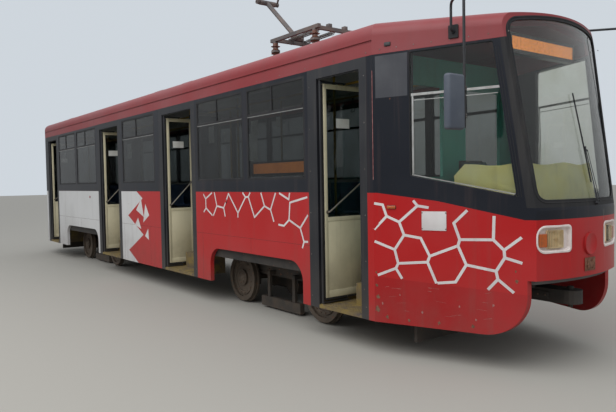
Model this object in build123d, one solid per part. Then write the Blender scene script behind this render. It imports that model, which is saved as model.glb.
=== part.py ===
from build123d import *
import math
import os

os.makedirs("parts", exist_ok=True)

# Driving sizes in millimetres. +X is forward, +Y is left, +Z is up.
# The origin is midway between the bogie pivots, on the level floor that the wheel flanges stand on.
flange_depth = 22.0
rail = flange_depth
half_width = 1250.0
wall = 60.0
sheet = 6.0
running_gap = 0.3
moving_gap = 6.0

# Heights of the car body, given above the rail head
skirt_z = rail + 322
bumper_z = rail + 850
window_low_z = rail + 1800
window_high_z = rail + 3000
fascia_z = rail + 3042
fascia_groove_z = rail + 3164
shoulder_z = rail + 3235
crown_z = rail + 3520
shoulder_radius = 150.0
roof_thickness = 80.0
floor_z = rail + 860
floor_thickness = 50.0
ceiling_z = rail + 3090
ceiling_thickness = 20.0
groove_height = 28.0
groove_depth = 14.0

# Plan of the body: straight sides, tapered cab and tail, bowed ends
front_taper_x = 6066.0
front_corner_x = 7500.0
front_x = 7675.0
front_corner_y = 712.0
front_bow_radius = 2100.0
rear_taper_x = -6590.0
rear_corner_x = -7560.0
rear_x = -7696.0
rear_corner_y = 886.0
rear_bow_radius = 2950.0

# Above the front belt the nose leans back towards the windshield's top
lean_z = rail + 1480
lean_top_z = rail + 3500
front_top_x = 7395.0

# How far the roof's shoulders and crown come down towards the windshield and the rear wall
nose_shoulder_drop = 123.0
nose_crown_drop = 258.0
tail_shoulder_drop = 85.0
tail_crown_drop = 140.0

# Bogies
pivot_x = 3675.0
wheelbase = 1940.0
wheel_radius = 350.0
axle_z = rail + wheel_radius
axle_radius = 60.0
wheel_back_y = 737.0
wheel_width = 85.0
flange_width = 28.0
hub_radius = 120.0
rim_thickness = 60.0
dish_depth = 34.0
dish_sides = 24
arch_half_length = 1155.0
arch_top_z = rail + 820
arch_radius = 250.0
kingpin_radius = 60.0

# Doors from front to rear: name, rear and front edge of the opening in X,
# width of the rear and of the front jamb, and the jambs that carry a leaf
doors = [
    ("door_1", 4975, 5975, 168, 110, ("rear",)),
    ("door_2", 760, 2100, 140, 130, ("rear", "front")),
    ("door_3", -2420, -1080, 150, 140, ("rear", "front")),
    ("door_4", -6450, -5450, 154, 110, ("rear",)),
]
door_top_z = rail + 2930
tread_z = rail + 360
step_z = rail + 610
step_y = -950.0
leaf_thickness = 36.0
leaf_low_z = rail + 400
leaf_high_z = rail + 2880
leaf_frame = 57.0
leaf_glass_low_z = rail + 1360
post_radius = 16.0
journal = 10.0
journal_radius = 12.0
post_offset = 24.0
post_y = -1215.0
arm_width = 36.0
arm_thickness = 16.0
pin_radius = 8.0
glass = 6.0

# Windows in the right wall between the doors: rear edge and front edge in X
right_windows = [(-5350, -3990), (-3895, -2535), (-980, 560), (2165, 3525), (3620, 4915)]
left_window_count = 9
left_window_rear_x = -6480.0
left_window_front_x = 5960.0
left_window_gap = 100.0
rubber = 28.0
transom_z = rail + 2640
transom_height = 22.0

# Pantograph in its raised place
foot = (3100.0, 0.0, rail + 3930)
knee = (2300.0, 0.0, rail + 4650)
head = (3100.0, 0.0, rail + 5720)
base_frame_z = rail + 3860
base_x = (3000.0, 4150.0)
insulator_x = (3100.0, 4050.0)
insulator_y = (-400.0, 400.0)
insulator_rings = 2
insulator_radius = 38.0
ring_radius = 66.0
ring_start = 60.0
ring_pitch = 90.0
ring_thickness = 30.0
foot_pin_radius = 20.0
knee_half = 205.0
knee_pin_radius = 16.0
head_pin_radius = 12.0
head_lug_y = 300.0
strip_half = 650.0
horn_reach = 180.0
horn_drop = 130.0

# Equipment boxes on the roof: rear and front end in X
roof_box_x = [(-5200.0, -3400.0), (-2600.0, -1000.0), (1500.0, 2350.0)]
roof_box_half = 340.0
roof_box_height = 70.0


def box(x, y, z):
    """A box from its low and high limits along each axis."""
    middle = Pos((x[0] + x[1]) / 2, (y[0] + y[1]) / 2, (z[0] + z[1]) / 2)
    return middle * Box(x[1] - x[0], y[1] - y[0], z[1] - z[0])


def side_panel(x, z, y, radius=0.0):
    """A plate in the plane of the side walls, with rounded corners."""
    width, height = x[1] - x[0], z[1] - z[0]
    outline = RectangleRounded(width, height, radius) if radius else Rectangle(width, height)
    plane = Plane(origin=((x[0] + x[1]) / 2, y[0], (z[0] + z[1]) / 2), x_dir=(1, 0, 0), z_dir=(0, 1, 0))
    return extrude(plane * outline, amount=y[1] - y[0])


def end_panel(y, z, x, radius=0.0):
    """A plate across the car, with rounded corners."""
    width, height = y[1] - y[0], z[1] - z[0]
    outline = RectangleRounded(width, height, radius) if radius else Rectangle(width, height)
    plane = Plane(origin=(x[0], (y[0] + y[1]) / 2, (z[0] + z[1]) / 2), x_dir=(0, 1, 0), z_dir=(1, 0, 0))
    return extrude(plane * outline, amount=x[1] - x[0])


def elevation(points, y):
    """A prism across the car from points (x, z) in side view."""
    outline = Polyline(*[(px, y[0], pz) for px, pz in points], close=True)
    return extrude(make_face(outline), amount=y[1] - y[0], dir=(0, 1, 0))


def rod(start, end, radius):
    """A round bar between two points."""
    along = Vector(*end) - Vector(*start)
    return extrude(Plane(origin=start, z_dir=along) * Circle(radius), amount=along.length)


def prism(start, end, radius, side_count=8):
    """A many-sided bar between two points."""
    along = Vector(*end) - Vector(*start)
    return extrude(Plane(origin=start, z_dir=along) * RegularPolygon(radius, side_count), amount=along.length)


def socket(start, end, radius, side_count=8):
    """The space round a pin: a many-sided bar whose flats, not its corners, lie at the radius."""
    return prism(start, end, radius / math.cos(math.pi / side_count), side_count)


def tube(points, radius):
    """An eight-sided tube along straight runs with mitred corners."""
    path = Polyline(*points)
    start = Plane(origin=path @ 0, z_dir=path % 0)
    return sweep(start * RegularPolygon(radius, 8), path=path, transition=Transition.RIGHT)


def group(pieces):
    """Several separate solids as one shape."""
    return Compound(children=[solid for piece in pieces for solid in piece.solids()])


def mirrored(piece):
    """The same piece on the other side of the car."""
    return mirror(piece, about=Plane.XZ)


def plan_prism(points, low_z, high_z):
    """An upright prism from points (x, y) in plan."""
    outline = Polyline(*[(px, py, low_z) for px, py in points], close=True)
    return extrude(make_face(outline), amount=high_z - low_z, dir=(0, 0, 1))


nose_slope = (half_width - front_corner_y) / (front_corner_x - front_taper_x)
tail_slope = (half_width - rear_corner_y) / (rear_taper_x - rear_corner_x)
nose_lean = (front_x - front_top_x) / (lean_top_z - lean_z)
everywhere = (-2000.0, 2000.0)
block_reach = 400.0
body_reach = front_x - rear_x


def taper_sides(start_x, end_x, slope, inset, low_z, high_z):
    """The space between the two tapered side planes of one end."""
    sign = 1 if end_x > start_x else -1
    start_y = half_width - inset * math.sqrt(1 + slope**2)
    end_y = start_y - slope * (abs(end_x - start_x) + block_reach)
    far_x = end_x + sign * block_reach
    corners = [(start_x, -start_y), (far_x, -end_y), (far_x, end_y), (start_x, start_y)]
    return plan_prism(corners, low_z, high_z)


def bow_block(sign, radius, low_z, high_z):
    """A wide block behind a bowed end face, with the bow's axis at its origin."""
    side_x = sign * math.sqrt(radius**2 - half_width**2)
    back_x = sign * radius - sign * 2 * body_reach
    corners = [(side_x, half_width), (back_x, half_width), (back_x, -half_width), (side_x, -half_width)]
    sides = Polyline(*[(x, y, low_z) for x, y in corners])
    arc = ThreePointArc((side_x, -half_width, low_z), (sign * radius, 0, low_z), (side_x, half_width, low_z))
    return extrude(make_face([*sides.edges(), *arc.edges()]), amount=high_z - low_z, dir=(0, 0, 1))


# The upright and the leaning part of the nose are two cylinders whose axes cross at this place
lean_angle = math.atan(nose_lean)
bow_axis_x = front_x - front_bow_radius
bow_axis_z = lean_z - front_bow_radius * math.tan(lean_angle / 2)


def nose_block(inset, low_z, high_z):
    """The bowed front alone: upright to the front belt and leaning back above it."""
    radius = front_bow_radius - inset
    block = Pos(bow_axis_x, 0, 0) * bow_block(1, radius, low_z, high_z)
    if high_z > lean_z:
        leaning = Rot(0, -math.degrees(lean_angle), 0) * bow_block(1, radius, -body_reach, body_reach)
        block &= Pos(bow_axis_x, 0, bow_axis_z) * leaning
    return block


def nose_form(inset, low_z=skirt_z, high_z=lean_top_z):
    """The cab's closed form."""
    sides = taper_sides(front_taper_x, front_x, nose_slope, inset, low_z, high_z)
    return sides & nose_block(inset, low_z, high_z)


def nose_surface_x(y, z):
    """Where the nose's outer surface lies at the place (y, z) in front view."""
    bow = math.sqrt(front_bow_radius**2 - y**2)
    leaning = (bow - (z - bow_axis_z) * math.sin(lean_angle)) / math.cos(lean_angle)
    return bow_axis_x + min(bow, leaning)


def tail_block(inset, low_z, high_z):
    """The bowed rear alone, upright all the way."""
    return Pos(rear_x + rear_bow_radius, 0, 0) * bow_block(-1, rear_bow_radius - inset, low_z, high_z)


def tail_form(inset, low_z=skirt_z, high_z=lean_top_z):
    """The tail's closed form."""
    sides = taper_sides(rear_taper_x, rear_x, tail_slope, inset, low_z, high_z)
    return sides & tail_block(inset, low_z, high_z)


# The crown is one arc that meets both shoulder arcs where all three are tangent
crown_run = half_width - shoulder_radius
crown_lift = crown_z - shoulder_z - shoulder_radius
crown_radius = (crown_run**2 + crown_lift**2 + 2 * shoulder_radius * crown_lift) / (2 * crown_lift)
meet_angle = math.asin(crown_run / (crown_radius - shoulder_radius))
meet_y = crown_run + shoulder_radius * math.sin(meet_angle)
meet_z = shoulder_z + shoulder_radius * math.cos(meet_angle)
half_angle = (meet_angle + math.pi / 2) / 2


def across(x, lines, arcs=()):
    """A face across the car at x from runs of points (y, z) and arcs of three such points."""
    edges = [edge for line in lines for edge in Polyline(*[(x, y, z) for y, z in line]).edges()]
    edges += [ThreePointArc(*[(x, y, z) for y, z in arc]).edges()[0] for arc in arcs]
    return make_face(edges)


def slide(face, way):
    """The solid that a face sweeps when it moves straight along a way."""
    return extrude(face, amount=Vector(*way).length, dir=way)


def crown_block(start_x, end_x, drop):
    """Everything under a crown that comes down by drop from start_x to end_x."""
    side_z = math.sqrt(crown_radius**2 - (2 * half_width) ** 2) - crown_radius
    low_z = -3 * half_width
    wide = 2 * half_width
    run = [(wide, side_z), (wide, low_z), (-wide, low_z), (-wide, side_z)]
    face = across(-2 * body_reach, [run], [((-wide, side_z), (0, 0), (wide, side_z))])
    block = extrude(face, amount=4 * body_reach, dir=(1, 0, 0))
    angle = math.degrees(math.atan2(drop, end_x - start_x))
    if end_x < start_x:
        angle = -math.degrees(math.atan2(drop, start_x - end_x))
    return Pos(start_x, 0, crown_z) * Rot(0, angle, 0) * block


def shoulder_block(start_x, end_x, slope, drop, side):
    """Everything inside one side plane and its rounded shoulder, along a taper or the straight side."""
    sign = 1 if end_x > start_x else -1
    way = Vector(sign, -side * slope, -drop / abs(end_x - start_x))
    outward = Vector(sign * slope, side, 0)
    up = sign * side
    radius = shoulder_radius / math.sqrt(1 + slope**2)
    far, deep = -2 * half_width - slope * 2 * body_reach, -2 * half_width
    tangent = (radius * math.sin(meet_angle), radius * math.cos(meet_angle))
    above = tangent[1] + (tangent[0] - far) * math.tan(meet_angle)
    middle = (radius * math.sin(half_angle), radius * math.cos(half_angle))
    corners = [(radius, 0), (radius, deep), (far, deep), (far, above), tangent]
    run = Polyline(*[(out, up * height) for out, height in corners])
    arc = ThreePointArc((tangent[0], up * tangent[1]), (middle[0], up * middle[1]), (radius, 0))
    place = (start_x, side * (half_width - shoulder_radius), shoulder_z)
    plane = Plane(origin=place, x_dir=outward, z_dir=way)
    return extrude(plane * make_face([*run.edges(), *arc.edges()]), amount=2 * body_reach, both=True)


def straight_roof(low_z):
    """The roof between the tapers: one crown arc and two shoulder arcs over upright sides."""
    middle_y = crown_run + shoulder_radius * math.sin(half_angle)
    middle_z = shoulder_z + shoulder_radius * math.cos(half_angle)
    sides = [(-half_width, shoulder_z), (-half_width, low_z), (half_width, low_z), (half_width, shoulder_z)]
    arcs = [
        ((-half_width, shoulder_z), (-middle_y, middle_z), (-meet_y, meet_z)),
        ((-meet_y, meet_z), (0, crown_z), (meet_y, meet_z)),
        ((meet_y, meet_z), (middle_y, middle_z), (half_width, shoulder_z)),
    ]
    section = across(rear_x - block_reach, [sides], arcs)
    return extrude(section, amount=front_x - rear_x + 2 * block_reach, dir=(1, 0, 0))


def roof_form(low_z):
    """The whole roof as a closed form: crown and shoulders run straight, then follow both ends."""
    form = straight_roof(low_z)
    form &= crown_block(front_taper_x, front_x, nose_crown_drop)
    form &= crown_block(rear_taper_x, rear_x, tail_crown_drop)
    for side in (-1, 1):
        form &= shoulder_block(front_taper_x, front_x, nose_slope, nose_shoulder_drop, side)
        form &= shoulder_block(rear_taper_x, rear_x, tail_slope, tail_shoulder_drop, side)
    return form & nose_block(0, low_z, lean_top_z) & tail_block(0, low_z, lean_top_z)


def roof_hollow(low_z):
    """The space inside the roof, with flat faces, open towards the car."""
    side_y = half_width - roof_thickness
    knee_y, knee_z = meet_y - roof_thickness, meet_z - roof_thickness
    peak_z = crown_z - roof_thickness
    half = [(side_y, low_z), (side_y, shoulder_z), (knee_y, knee_z), (0, peak_z)]
    section = [*half, *[(-y, z) for y, z in reversed(half[:-1])], half[0]]
    form = extrude(across(front_taper_x, [section]), amount=front_taper_x - rear_taper_x, dir=(-1, 0, 0))
    for start_x, end_x, drop, limit in (
        (front_taper_x, front_x, nose_crown_drop, nose_form(roof_thickness, low_z, lean_top_z)),
        (rear_taper_x, rear_x, tail_crown_drop, tail_form(roof_thickness, low_z, lean_top_z)),
    ):
        form += slide(across(start_x, [section]), (end_x - start_x, 0, -drop)) & limit
    return form


# Side walls
def wheel_arch(centre_x, y):
    """The opening over one bogie, rounded at its top corners."""
    span = (centre_x - arch_half_length, centre_x + arch_half_length)
    return side_panel(span, (skirt_z - arch_radius - 10, arch_top_z), y, arch_radius)


def wall_panel(x, side, windows):
    """A stretch of side wall with its windows and wheel arches cut out."""
    y = (-half_width, -half_width + wall) if side < 0 else (half_width - wall, half_width)
    cut_y = (y[0] - 10, y[1] + 10)
    panel = box(x, y, (skirt_z, fascia_z))
    for rear, front in windows:
        if x[0] < rear and front < x[1]:
            panel -= box((rear, front), cut_y, (window_low_z, window_high_z))
    for centre_x in (-pivot_x, pivot_x):
        if x[0] < centre_x < x[1]:
            panel -= wheel_arch(centre_x, cut_y)
    return panel


door_edges = sorted((rear, front) for _, rear, front, _, _, _ in doors)
wall_starts = [rear_taper_x] + [front for _, front in door_edges]
wall_ends = [rear for rear, _ in door_edges] + [front_taper_x]
right_wall = [wall_panel((start, end), -1, right_windows) for start, end in zip(wall_starts, wall_ends)]

left_window_length = (
    left_window_front_x - left_window_rear_x - left_window_gap * (left_window_count - 1)
) / left_window_count
left_windows = [
    (
        left_window_rear_x + i * (left_window_length + left_window_gap),
        left_window_rear_x + i * (left_window_length + left_window_gap) + left_window_length,
    )
    for i in range(left_window_count)
]
left_wall = wall_panel((rear_taper_x, front_taper_x), 1, left_windows)


# Saloon windows: rubber frame with a transom for the sliding vents, and the panes in it
frame_depth = 30.0
pane_set_in = 10.0


def window_frame(x, side):
    outer_y = side * half_width
    y = tuple(sorted((outer_y, outer_y - side * frame_depth)))
    cut_y = (y[0] - 10, y[1] + 10)
    inner_x = (x[0] + rubber, x[1] - rubber)
    frame = box(x, y, (window_low_z, window_high_z))
    frame -= box(inner_x, cut_y, (window_low_z + rubber, transom_z))
    return frame - box(inner_x, cut_y, (transom_z + transom_height, window_high_z - rubber))


def window_panes(x, side):
    outer_y = side * (half_width - pane_set_in)
    y = tuple(sorted((outer_y, outer_y - side * glass)))
    inner_x = (x[0] + rubber, x[1] - rubber)
    return [
        box(inner_x, y, (window_low_z + rubber, transom_z)),
        box(inner_x, y, (transom_z + transom_height, window_high_z - rubber)),
    ]


sides = [(-1, right_windows), (1, left_windows)]
window_frames = [window_frame(x, side) for side, windows in sides for x in windows]
saloon_glass = [pane for side, windows in sides for x in windows for pane in window_panes(x, side)]

# Cab: the nose shell is split at the corners into side panels, front mask and windshield
nose_shell = nose_form(0) - nose_form(wall)
seam_x = front_corner_x - 16
skirt_corner = 370.0


def leaning_x(x, z):
    """Where a line that stands at x on the belt has moved to at height z."""
    return x - nose_lean * (z - lean_z)


cab_side_zone = elevation(
    [
        (front_taper_x, skirt_z),
        (seam_x, skirt_z),
        (seam_x, lean_z),
        (leaning_x(seam_x, fascia_z), fascia_z),
        (front_taper_x, fascia_z),
    ],
    everywhere,
)
corner_block = elevation(
    [
        (seam_x - skirt_corner, skirt_z - 10),
        (seam_x + 200, skirt_z - 10),
        (seam_x + 200, skirt_z + skirt_corner),
        (seam_x - skirt_corner, skirt_z + skirt_corner),
    ],
    everywhere,
) - rod(
    (seam_x - skirt_corner, everywhere[0], skirt_z + skirt_corner),
    (seam_x - skirt_corner, everywhere[1], skirt_z + skirt_corner),
    skirt_corner,
)
pillar = 66.0
cab_window_rear_x = 6440.0
cab_sill_z = (rail + 1810, rail + 1605)
cab_window_high_z = fascia_z - 22
cab_window = [
    (cab_window_rear_x, cab_sill_z[0]),
    (leaning_x(seam_x - pillar, cab_sill_z[1]), cab_sill_z[1]),
    (leaning_x(seam_x - pillar, cab_window_high_z), cab_window_high_z),
    (cab_window_rear_x, cab_window_high_z),
]
cab_window_cut = elevation(cab_window, everywhere)
cab_sides_form = (nose_shell & cab_side_zone) - corner_block - cab_window_cut
cab_sides = cab_sides_form.solids()
cab_glass_form = (nose_form(12) - nose_form(12 + glass)) & cab_side_zone & cab_window_cut
cab_side_glass = cab_glass_form.solids()

# Front mask, with recesses for the headlamps
glass_low_z = rail + 1563
glass_high_z = rail + 3252
mask_zone = box((seam_x, front_x + 100), everywhere, (bumper_z, glass_low_z - 60))
lamp_y = (278.0, 585.0)
lamp_z = (rail + 1095, rail + 1333)
lamp_radius = 70.0
lamp_rim = 6.0
front_mask = (nose_shell & mask_zone) - cab_sides_form
lamp_cut_x = (front_corner_x - 200, front_x + 100)
lamp_cuts = [end_panel(y, lamp_z, lamp_cut_x, lamp_radius) for y in (lamp_y, (-lamp_y[1], -lamp_y[0]))]
for cut in lamp_cuts:
    front_mask -= cut

# Windshield: one bowed pane in a wide rubber surround under the roof's front edge
surround_low_z = glass_low_z - 60
pane_low_y = 655.0
pane_high_y = 735.0
pane_radius = 110.0
surround_rim = 30.0


def bowed_outline(low_y, low_z, high_y, high_z):
    """Front outline with upright or slanting sides and a top edge bowed like the crown."""
    corner_z = high_z - crown_radius + math.sqrt(crown_radius**2 - high_y**2)
    run = [(high_y, corner_z), (low_y, low_z), (-low_y, low_z), (-high_y, corner_z)]
    return across(0, [run], [((-high_y, corner_z), (0, high_z), (high_y, corner_z))])


def top_corners(face):
    return face.vertices().sort_by(Axis.Z)[-2:]


header_y = pane_high_y + surround_rim
header = bowed_outline(header_y, fascia_z, header_y, glass_high_z + surround_rim)
header = fillet(top_corners(header), pane_radius + surround_rim)
surround_zone = elevation(
    [
        (seam_x, surround_low_z),
        (front_x + 100, surround_low_z),
        (front_x + 100, lean_top_z),
        (leaning_x(seam_x, lean_top_z), lean_top_z),
        (leaning_x(seam_x, surround_low_z), surround_low_z),
    ],
    everywhere,
)
surround_zone &= box((0, body_reach), everywhere, (skirt_z, fascia_z)) + extrude(
    header, amount=body_reach, dir=(1, 0, 0)
)
surround_form = (nose_shell & surround_zone) - cab_sides_form
pane_face = bowed_outline(pane_low_y, glass_low_z, pane_high_y, glass_high_z)
pane_face = fillet(pane_face.vertices(), pane_radius)
pane_cut = extrude(pane_face, amount=body_reach, dir=(1, 0, 0))
windshield_surround = surround_form - pane_cut
pane_z = (surround_low_z, lean_top_z)
windshield = (nose_form(10, *pane_z) - nose_form(10 + glass, *pane_z)) & pane_cut & surround_zone

# Roof: fascia, shoulders and crown as one shell, closed over the windshield
roof = roof_form(fascia_z) - roof_hollow(fascia_z - 50) - surround_zone
roof_pad_z = crown_z + 8
roof_pads = [(x - 90, x + 90, y - 90, y + 90) for x in insulator_x for y in insulator_y]
box_pad_x = [x for low, high in roof_box_x for x in (low + 60, high - 60)]
roof_pads += [(x - 40, x + 40, -roof_box_half, roof_box_half) for x in box_pad_x]
for low_x, high_x, low_y, high_y in roof_pads:
    roof += box((low_x, high_x), (low_y, high_y), (crown_z - roof_thickness / 2, roof_pad_z))
for side in (-1, 1):
    groove_y = tuple(sorted((side * (half_width - groove_depth), side * (half_width + 10))))
    roof -= box((rear_taper_x, front_taper_x), groove_y, (fascia_groove_z, fascia_groove_z + groove_height))

# Rear wall with its window and the raised bumper line between the side skirts
rear_shell = tail_form(0, skirt_z, fascia_z) - tail_form(wall, skirt_z - 10, fascia_z + 10)
inner_y = (-half_width + wall, half_width - wall)
rear_shell -= box((rear_taper_x - 30, rear_taper_x + 10), inner_y, (skirt_z - 10, fascia_z + 10))
rear_bay_y = 700.0
rear_shell -= box((rear_x - 100, rear_corner_x + 100), (-rear_bay_y, rear_bay_y), (skirt_z - 10, bumper_z))
rear_window_y = 720.0
rear_window_x = (rear_x - 100, rear_corner_x + 150)
rear_window_cut = end_panel((-rear_window_y, rear_window_y), (window_low_z, window_high_z), rear_window_x)
tail_window_x = (-7420.0, -6720.0)
tail_window = [(x, z) for z in (window_low_z, window_high_z) for x in tail_window_x]
tail_window = [tail_window[0], tail_window[1], tail_window[3], tail_window[2]]
tail_window_cut = elevation(tail_window, everywhere)
rear_wall = rear_shell - rear_window_cut - tail_window_cut
rear_pane_form = tail_form(12, skirt_z, fascia_z) - tail_form(12 + glass, skirt_z - 10, fascia_z + 10)
rear_glass = [rear_pane_form & rear_window_cut, *(rear_pane_form & tail_window_cut).solids()]

# Floor, ceiling and underframe
well_inner_y = {}
door_layout = {}
for name, rear, front, rear_jamb, front_jamb, leaves in doors:
    clear = (rear + rear_jamb, front - front_jamb)
    share = (clear[1] - clear[0]) / len(leaves)
    slack = 8.0 / len(leaves) if len(leaves) == 1 else 4.0
    leaf_width = share - post_offset - (post_radius + moving_gap) - slack
    well_inner_y[name] = post_y + leaf_width + post_radius + moving_gap + 6
    door_layout[name] = (rear, front, clear, leaf_width, leaves)

# The floor lies in straight panels with an open joint between them, narrower beside the step wells
panel_joint = 0.5
floor_low_z = floor_z - floor_thickness
floor_plate_z = (floor_low_z, floor_z)
well_edges = [
    (clear[0] - sheet, clear[1] + sheet, well_inner_y[name] + sheet)
    for name, (rear, front, clear, leaf_width, leaves) in door_layout.items()
]
floor_panels = []
panel_start_x = rear_taper_x
for well_rear_x, well_front_x, well_y in sorted(well_edges):
    narrow_x = (well_rear_x + panel_joint, well_front_x - panel_joint)
    floor_panels.append(box((panel_start_x, well_rear_x), inner_y, floor_plate_z))
    floor_panels.append(box(narrow_x, (well_y, inner_y[1]), floor_plate_z))
    panel_start_x = well_front_x
floor_panels.append(box((panel_start_x, front_taper_x), inner_y, floor_plate_z))
ahead_of_taper = (front_taper_x + panel_joint, front_x)
behind_taper = (rear_x, rear_taper_x - panel_joint)
floor_panels.append(nose_form(wall, *floor_plate_z) & box(ahead_of_taper, everywhere, floor_plate_z))
floor_panels.append(tail_form(wall, *floor_plate_z) & box(behind_taper, everywhere, floor_plate_z))

ceiling_stop = 66.0
ceiling_front_x = front_taper_x - ceiling_stop
ceiling_y = (-half_width + roof_thickness, half_width - roof_thickness)
ceiling_top_z = ceiling_z + ceiling_thickness
ceiling = box((rear_taper_x, ceiling_front_x), ceiling_y, (ceiling_z, ceiling_top_z))

beam_z = (rail + 690, floor_z - floor_thickness)
bolster_half_x = 200.0
sill_y = (1110.0, half_width - wall)
member_gap = 0.5
main_y = (150.0, 260.0)
middle_y = (-main_y[0] + member_gap, main_y[0] - member_gap)
outer_y = (main_y[1] + member_gap, sill_y[0] - member_gap)
bearer_half_x = 50.0
# Cross bearers: place in X, right end and left end in Y, or 0 where that side has none
bearers = [
    (-7100, 600, 600),
    (-6350, 460, 600),
    (-1700, 0, outer_y[1]),
    (-900, 0, outer_y[1]),
    (-200, outer_y[1], outer_y[1]),
    (300, outer_y[1], outer_y[1]),
    (950, 0, outer_y[1]),
    (1750, 0, outer_y[1]),
    (6350, 600, 600),
    (7100, 600, 600),
]
# The frame's straight members lie in one plane, each cut back from its neighbours by the weld's gap
underframe = [box((-7300, 7200), y, beam_z) for y in (main_y, (-main_y[1], -main_y[0]))]
underframe.append(box((rear_taper_x, front_taper_x), sill_y, beam_z))
for start, end in zip(wall_starts, wall_ends):
    if end - start > 400:
        underframe.append(box((start, end), (-sill_y[1], -sill_y[0]), beam_z))
for centre_x in (-pivot_x, pivot_x):
    bolster_x = (centre_x - bolster_half_x, centre_x + bolster_half_x)
    kingpin = rod((centre_x, 0, rail + 500), (centre_x, 0, beam_z[0]), kingpin_radius)
    underframe.append(box(bolster_x, middle_y, beam_z) + kingpin)
    underframe += [box(bolster_x, outer_y, beam_z), box(bolster_x, (-outer_y[1], -outer_y[0]), beam_z)]
for bearer_x, right_end, left_end in bearers:
    bearer_span = (bearer_x - bearer_half_x, bearer_x + bearer_half_x)
    underframe.append(box(bearer_span, middle_y, beam_z))
    underframe.append(box(bearer_span, (outer_y[0], left_end), beam_z))
    if right_end:
        underframe.append(box(bearer_span, (-right_end, -outer_y[0]), beam_z))


# Doors: frames, step wells, posts with their arms, and leaves
def door_frame(rear, front, clear):
    frame = box((rear, front), (-half_width, -half_width + wall), (skirt_z, fascia_z))
    return frame - box(clear, (-half_width - 10, -half_width + wall + 10), (skirt_z - 10, door_top_z))


def step_well(name):
    """Sheet-metal well with a sill and one step block, cut round the leaves' paths."""
    rear, front, clear, leaf_width, leaves = door_layout[name]
    inner_y = well_inner_y[name]
    outer_x = (clear[0] - sheet, clear[1] + sheet)
    outer = box(outer_x, (-half_width + wall, inner_y + sheet), (skirt_z, floor_z))
    hollow = box(clear, (-half_width, inner_y), (tread_z, floor_z + 10))
    well = outer - hollow + box(clear, (-half_width, -half_width + wall), (skirt_z, tread_z))
    length = leaf_width + 2 * (post_radius + moving_gap)
    depth = step_y - post_y
    reach = length * (1 - (depth / length) ** (2 / 3)) ** 1.5
    keep_off = reach + (leaf_thickness / 2 + moving_gap) * 1.5 + post_offset
    x_low = clear[0] + (keep_off if "rear" in leaves else 0)
    x_high = clear[1] - (keep_off if "front" in leaves else 0)
    well += box((x_low, x_high), (step_y, inner_y), (tread_z, step_z))
    if "front" not in leaves:
        landing_y = -700.0
        depth = landing_y - post_y
        reach = length * (1 - (depth / length) ** (2 / 3)) ** 1.5
        x_low = clear[0] + reach + (leaf_thickness / 2 + moving_gap) * 1.3 + post_offset
        well += box((x_low, x_high), (landing_y, inner_y), (step_z, floor_z))
    return well


def door_parts(name, jamb):
    """Post with two arms, and leaf, in the open place: arms and leaf point inwards."""
    rear, front, clear, leaf_width, leaves = door_layout[name]
    x = clear[0] + post_offset if jamb == "rear" else clear[1] - post_offset
    arm = leaf_width / 2 + post_radius + moving_gap
    pivot_y = post_y + arm
    post_z = (tread_z + running_gap, door_top_z - running_gap)
    post = prism((x, post_y, post_z[0] + journal), (x, post_y, post_z[1]), post_radius)
    post += rod((x, post_y, post_z[0]), (x, post_y, post_z[0] + journal), journal_radius)
    low_arm = (leaf_low_z - 28, (leaf_low_z - 28, leaf_low_z + 18))
    high_arm = (leaf_high_z + 12, (leaf_high_z - 18, leaf_high_z + 28))
    for (low_z, pin_z), make_pin in ((low_arm, rod), (high_arm, prism)):
        arm_y = (post_y, pivot_y + arm_width / 2)
        post += box((x - arm_width / 2, x + arm_width / 2), arm_y, (low_z, low_z + arm_thickness))
        post += make_pin((x, pivot_y, pin_z[0]), (x, pivot_y, pin_z[1]), pin_radius)
    leaf_x = (x - leaf_thickness / 2, x + leaf_thickness / 2)
    leaf_y = (pivot_y - leaf_width / 2, pivot_y + leaf_width / 2)
    leaf = box(leaf_x, leaf_y, (leaf_low_z, leaf_high_z))
    hole_y = (leaf_y[0] + leaf_frame, leaf_y[1] - leaf_frame)
    hole_z = (leaf_glass_low_z, leaf_high_z - leaf_frame)
    leaf -= box((leaf_x[0] - 10, leaf_x[1] + 10), hole_y, hole_z)
    for z in ((leaf_low_z - 10, leaf_low_z + 20), (leaf_high_z - 20, leaf_high_z + 10)):
        leaf -= socket((x, pivot_y, z[0]), (x, pivot_y, z[1]), pin_radius + running_gap)
    gap = running_gap
    pane_y, pane_z = [(low + gap, high - gap) for low, high in (hole_y, hole_z)]
    pane = box((x - glass / 2, x + glass / 2), pane_y, pane_z)
    face = 1 if jamb == "rear" else -1
    rail_x = x + face * (leaf_thickness / 2 + 35)
    rail_points = [
        (x + face * leaf_thickness / 2, leaf_y[0] + 50, rail + 1418),
        (rail_x, leaf_y[0] + 50, rail + 1418),
        (rail_x, leaf_y[1] - 50, rail + 1800),
        (x + face * leaf_thickness / 2, leaf_y[1] - 50, rail + 1800),
    ]
    leaf += tube(rail_points, 11)
    return post, [leaf, pane]


door_frames = [door_frame(rear, front, clear) for rear, front, clear, _, _ in door_layout.values()]
step_wells = [step_well(name) for name in door_layout]


# Bogies
def wheelset(x):
    """Axle and two flanged wheels, turned as one profile, each with a sunk face round its hub."""
    tread_y = wheel_back_y + wheel_width
    half = [
        (0, 0),
        (0, tread_y),
        (wheel_radius, tread_y),
        (wheel_radius, wheel_back_y + flange_width),
        (wheel_radius + flange_depth, wheel_back_y + flange_width),
        (wheel_radius + flange_depth, wheel_back_y),
        (axle_radius, wheel_back_y),
        (axle_radius, 0),
    ]
    outline = Polyline(*[(r, y, 0) for r, y in half], close=True)
    turned = revolve(make_face(outline), axis=Axis.Y, revolution_arc=360)
    dish = prism((0, tread_y - dish_depth, 0), (0, tread_y + 10, 0), wheel_radius - rim_thickness, dish_sides)
    turned -= dish
    turned += prism((0, tread_y - dish_depth, 0), (0, tread_y, 0), hub_radius, 12)
    return Pos(x, 0, axle_z) * (turned + mirrored(turned))


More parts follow.
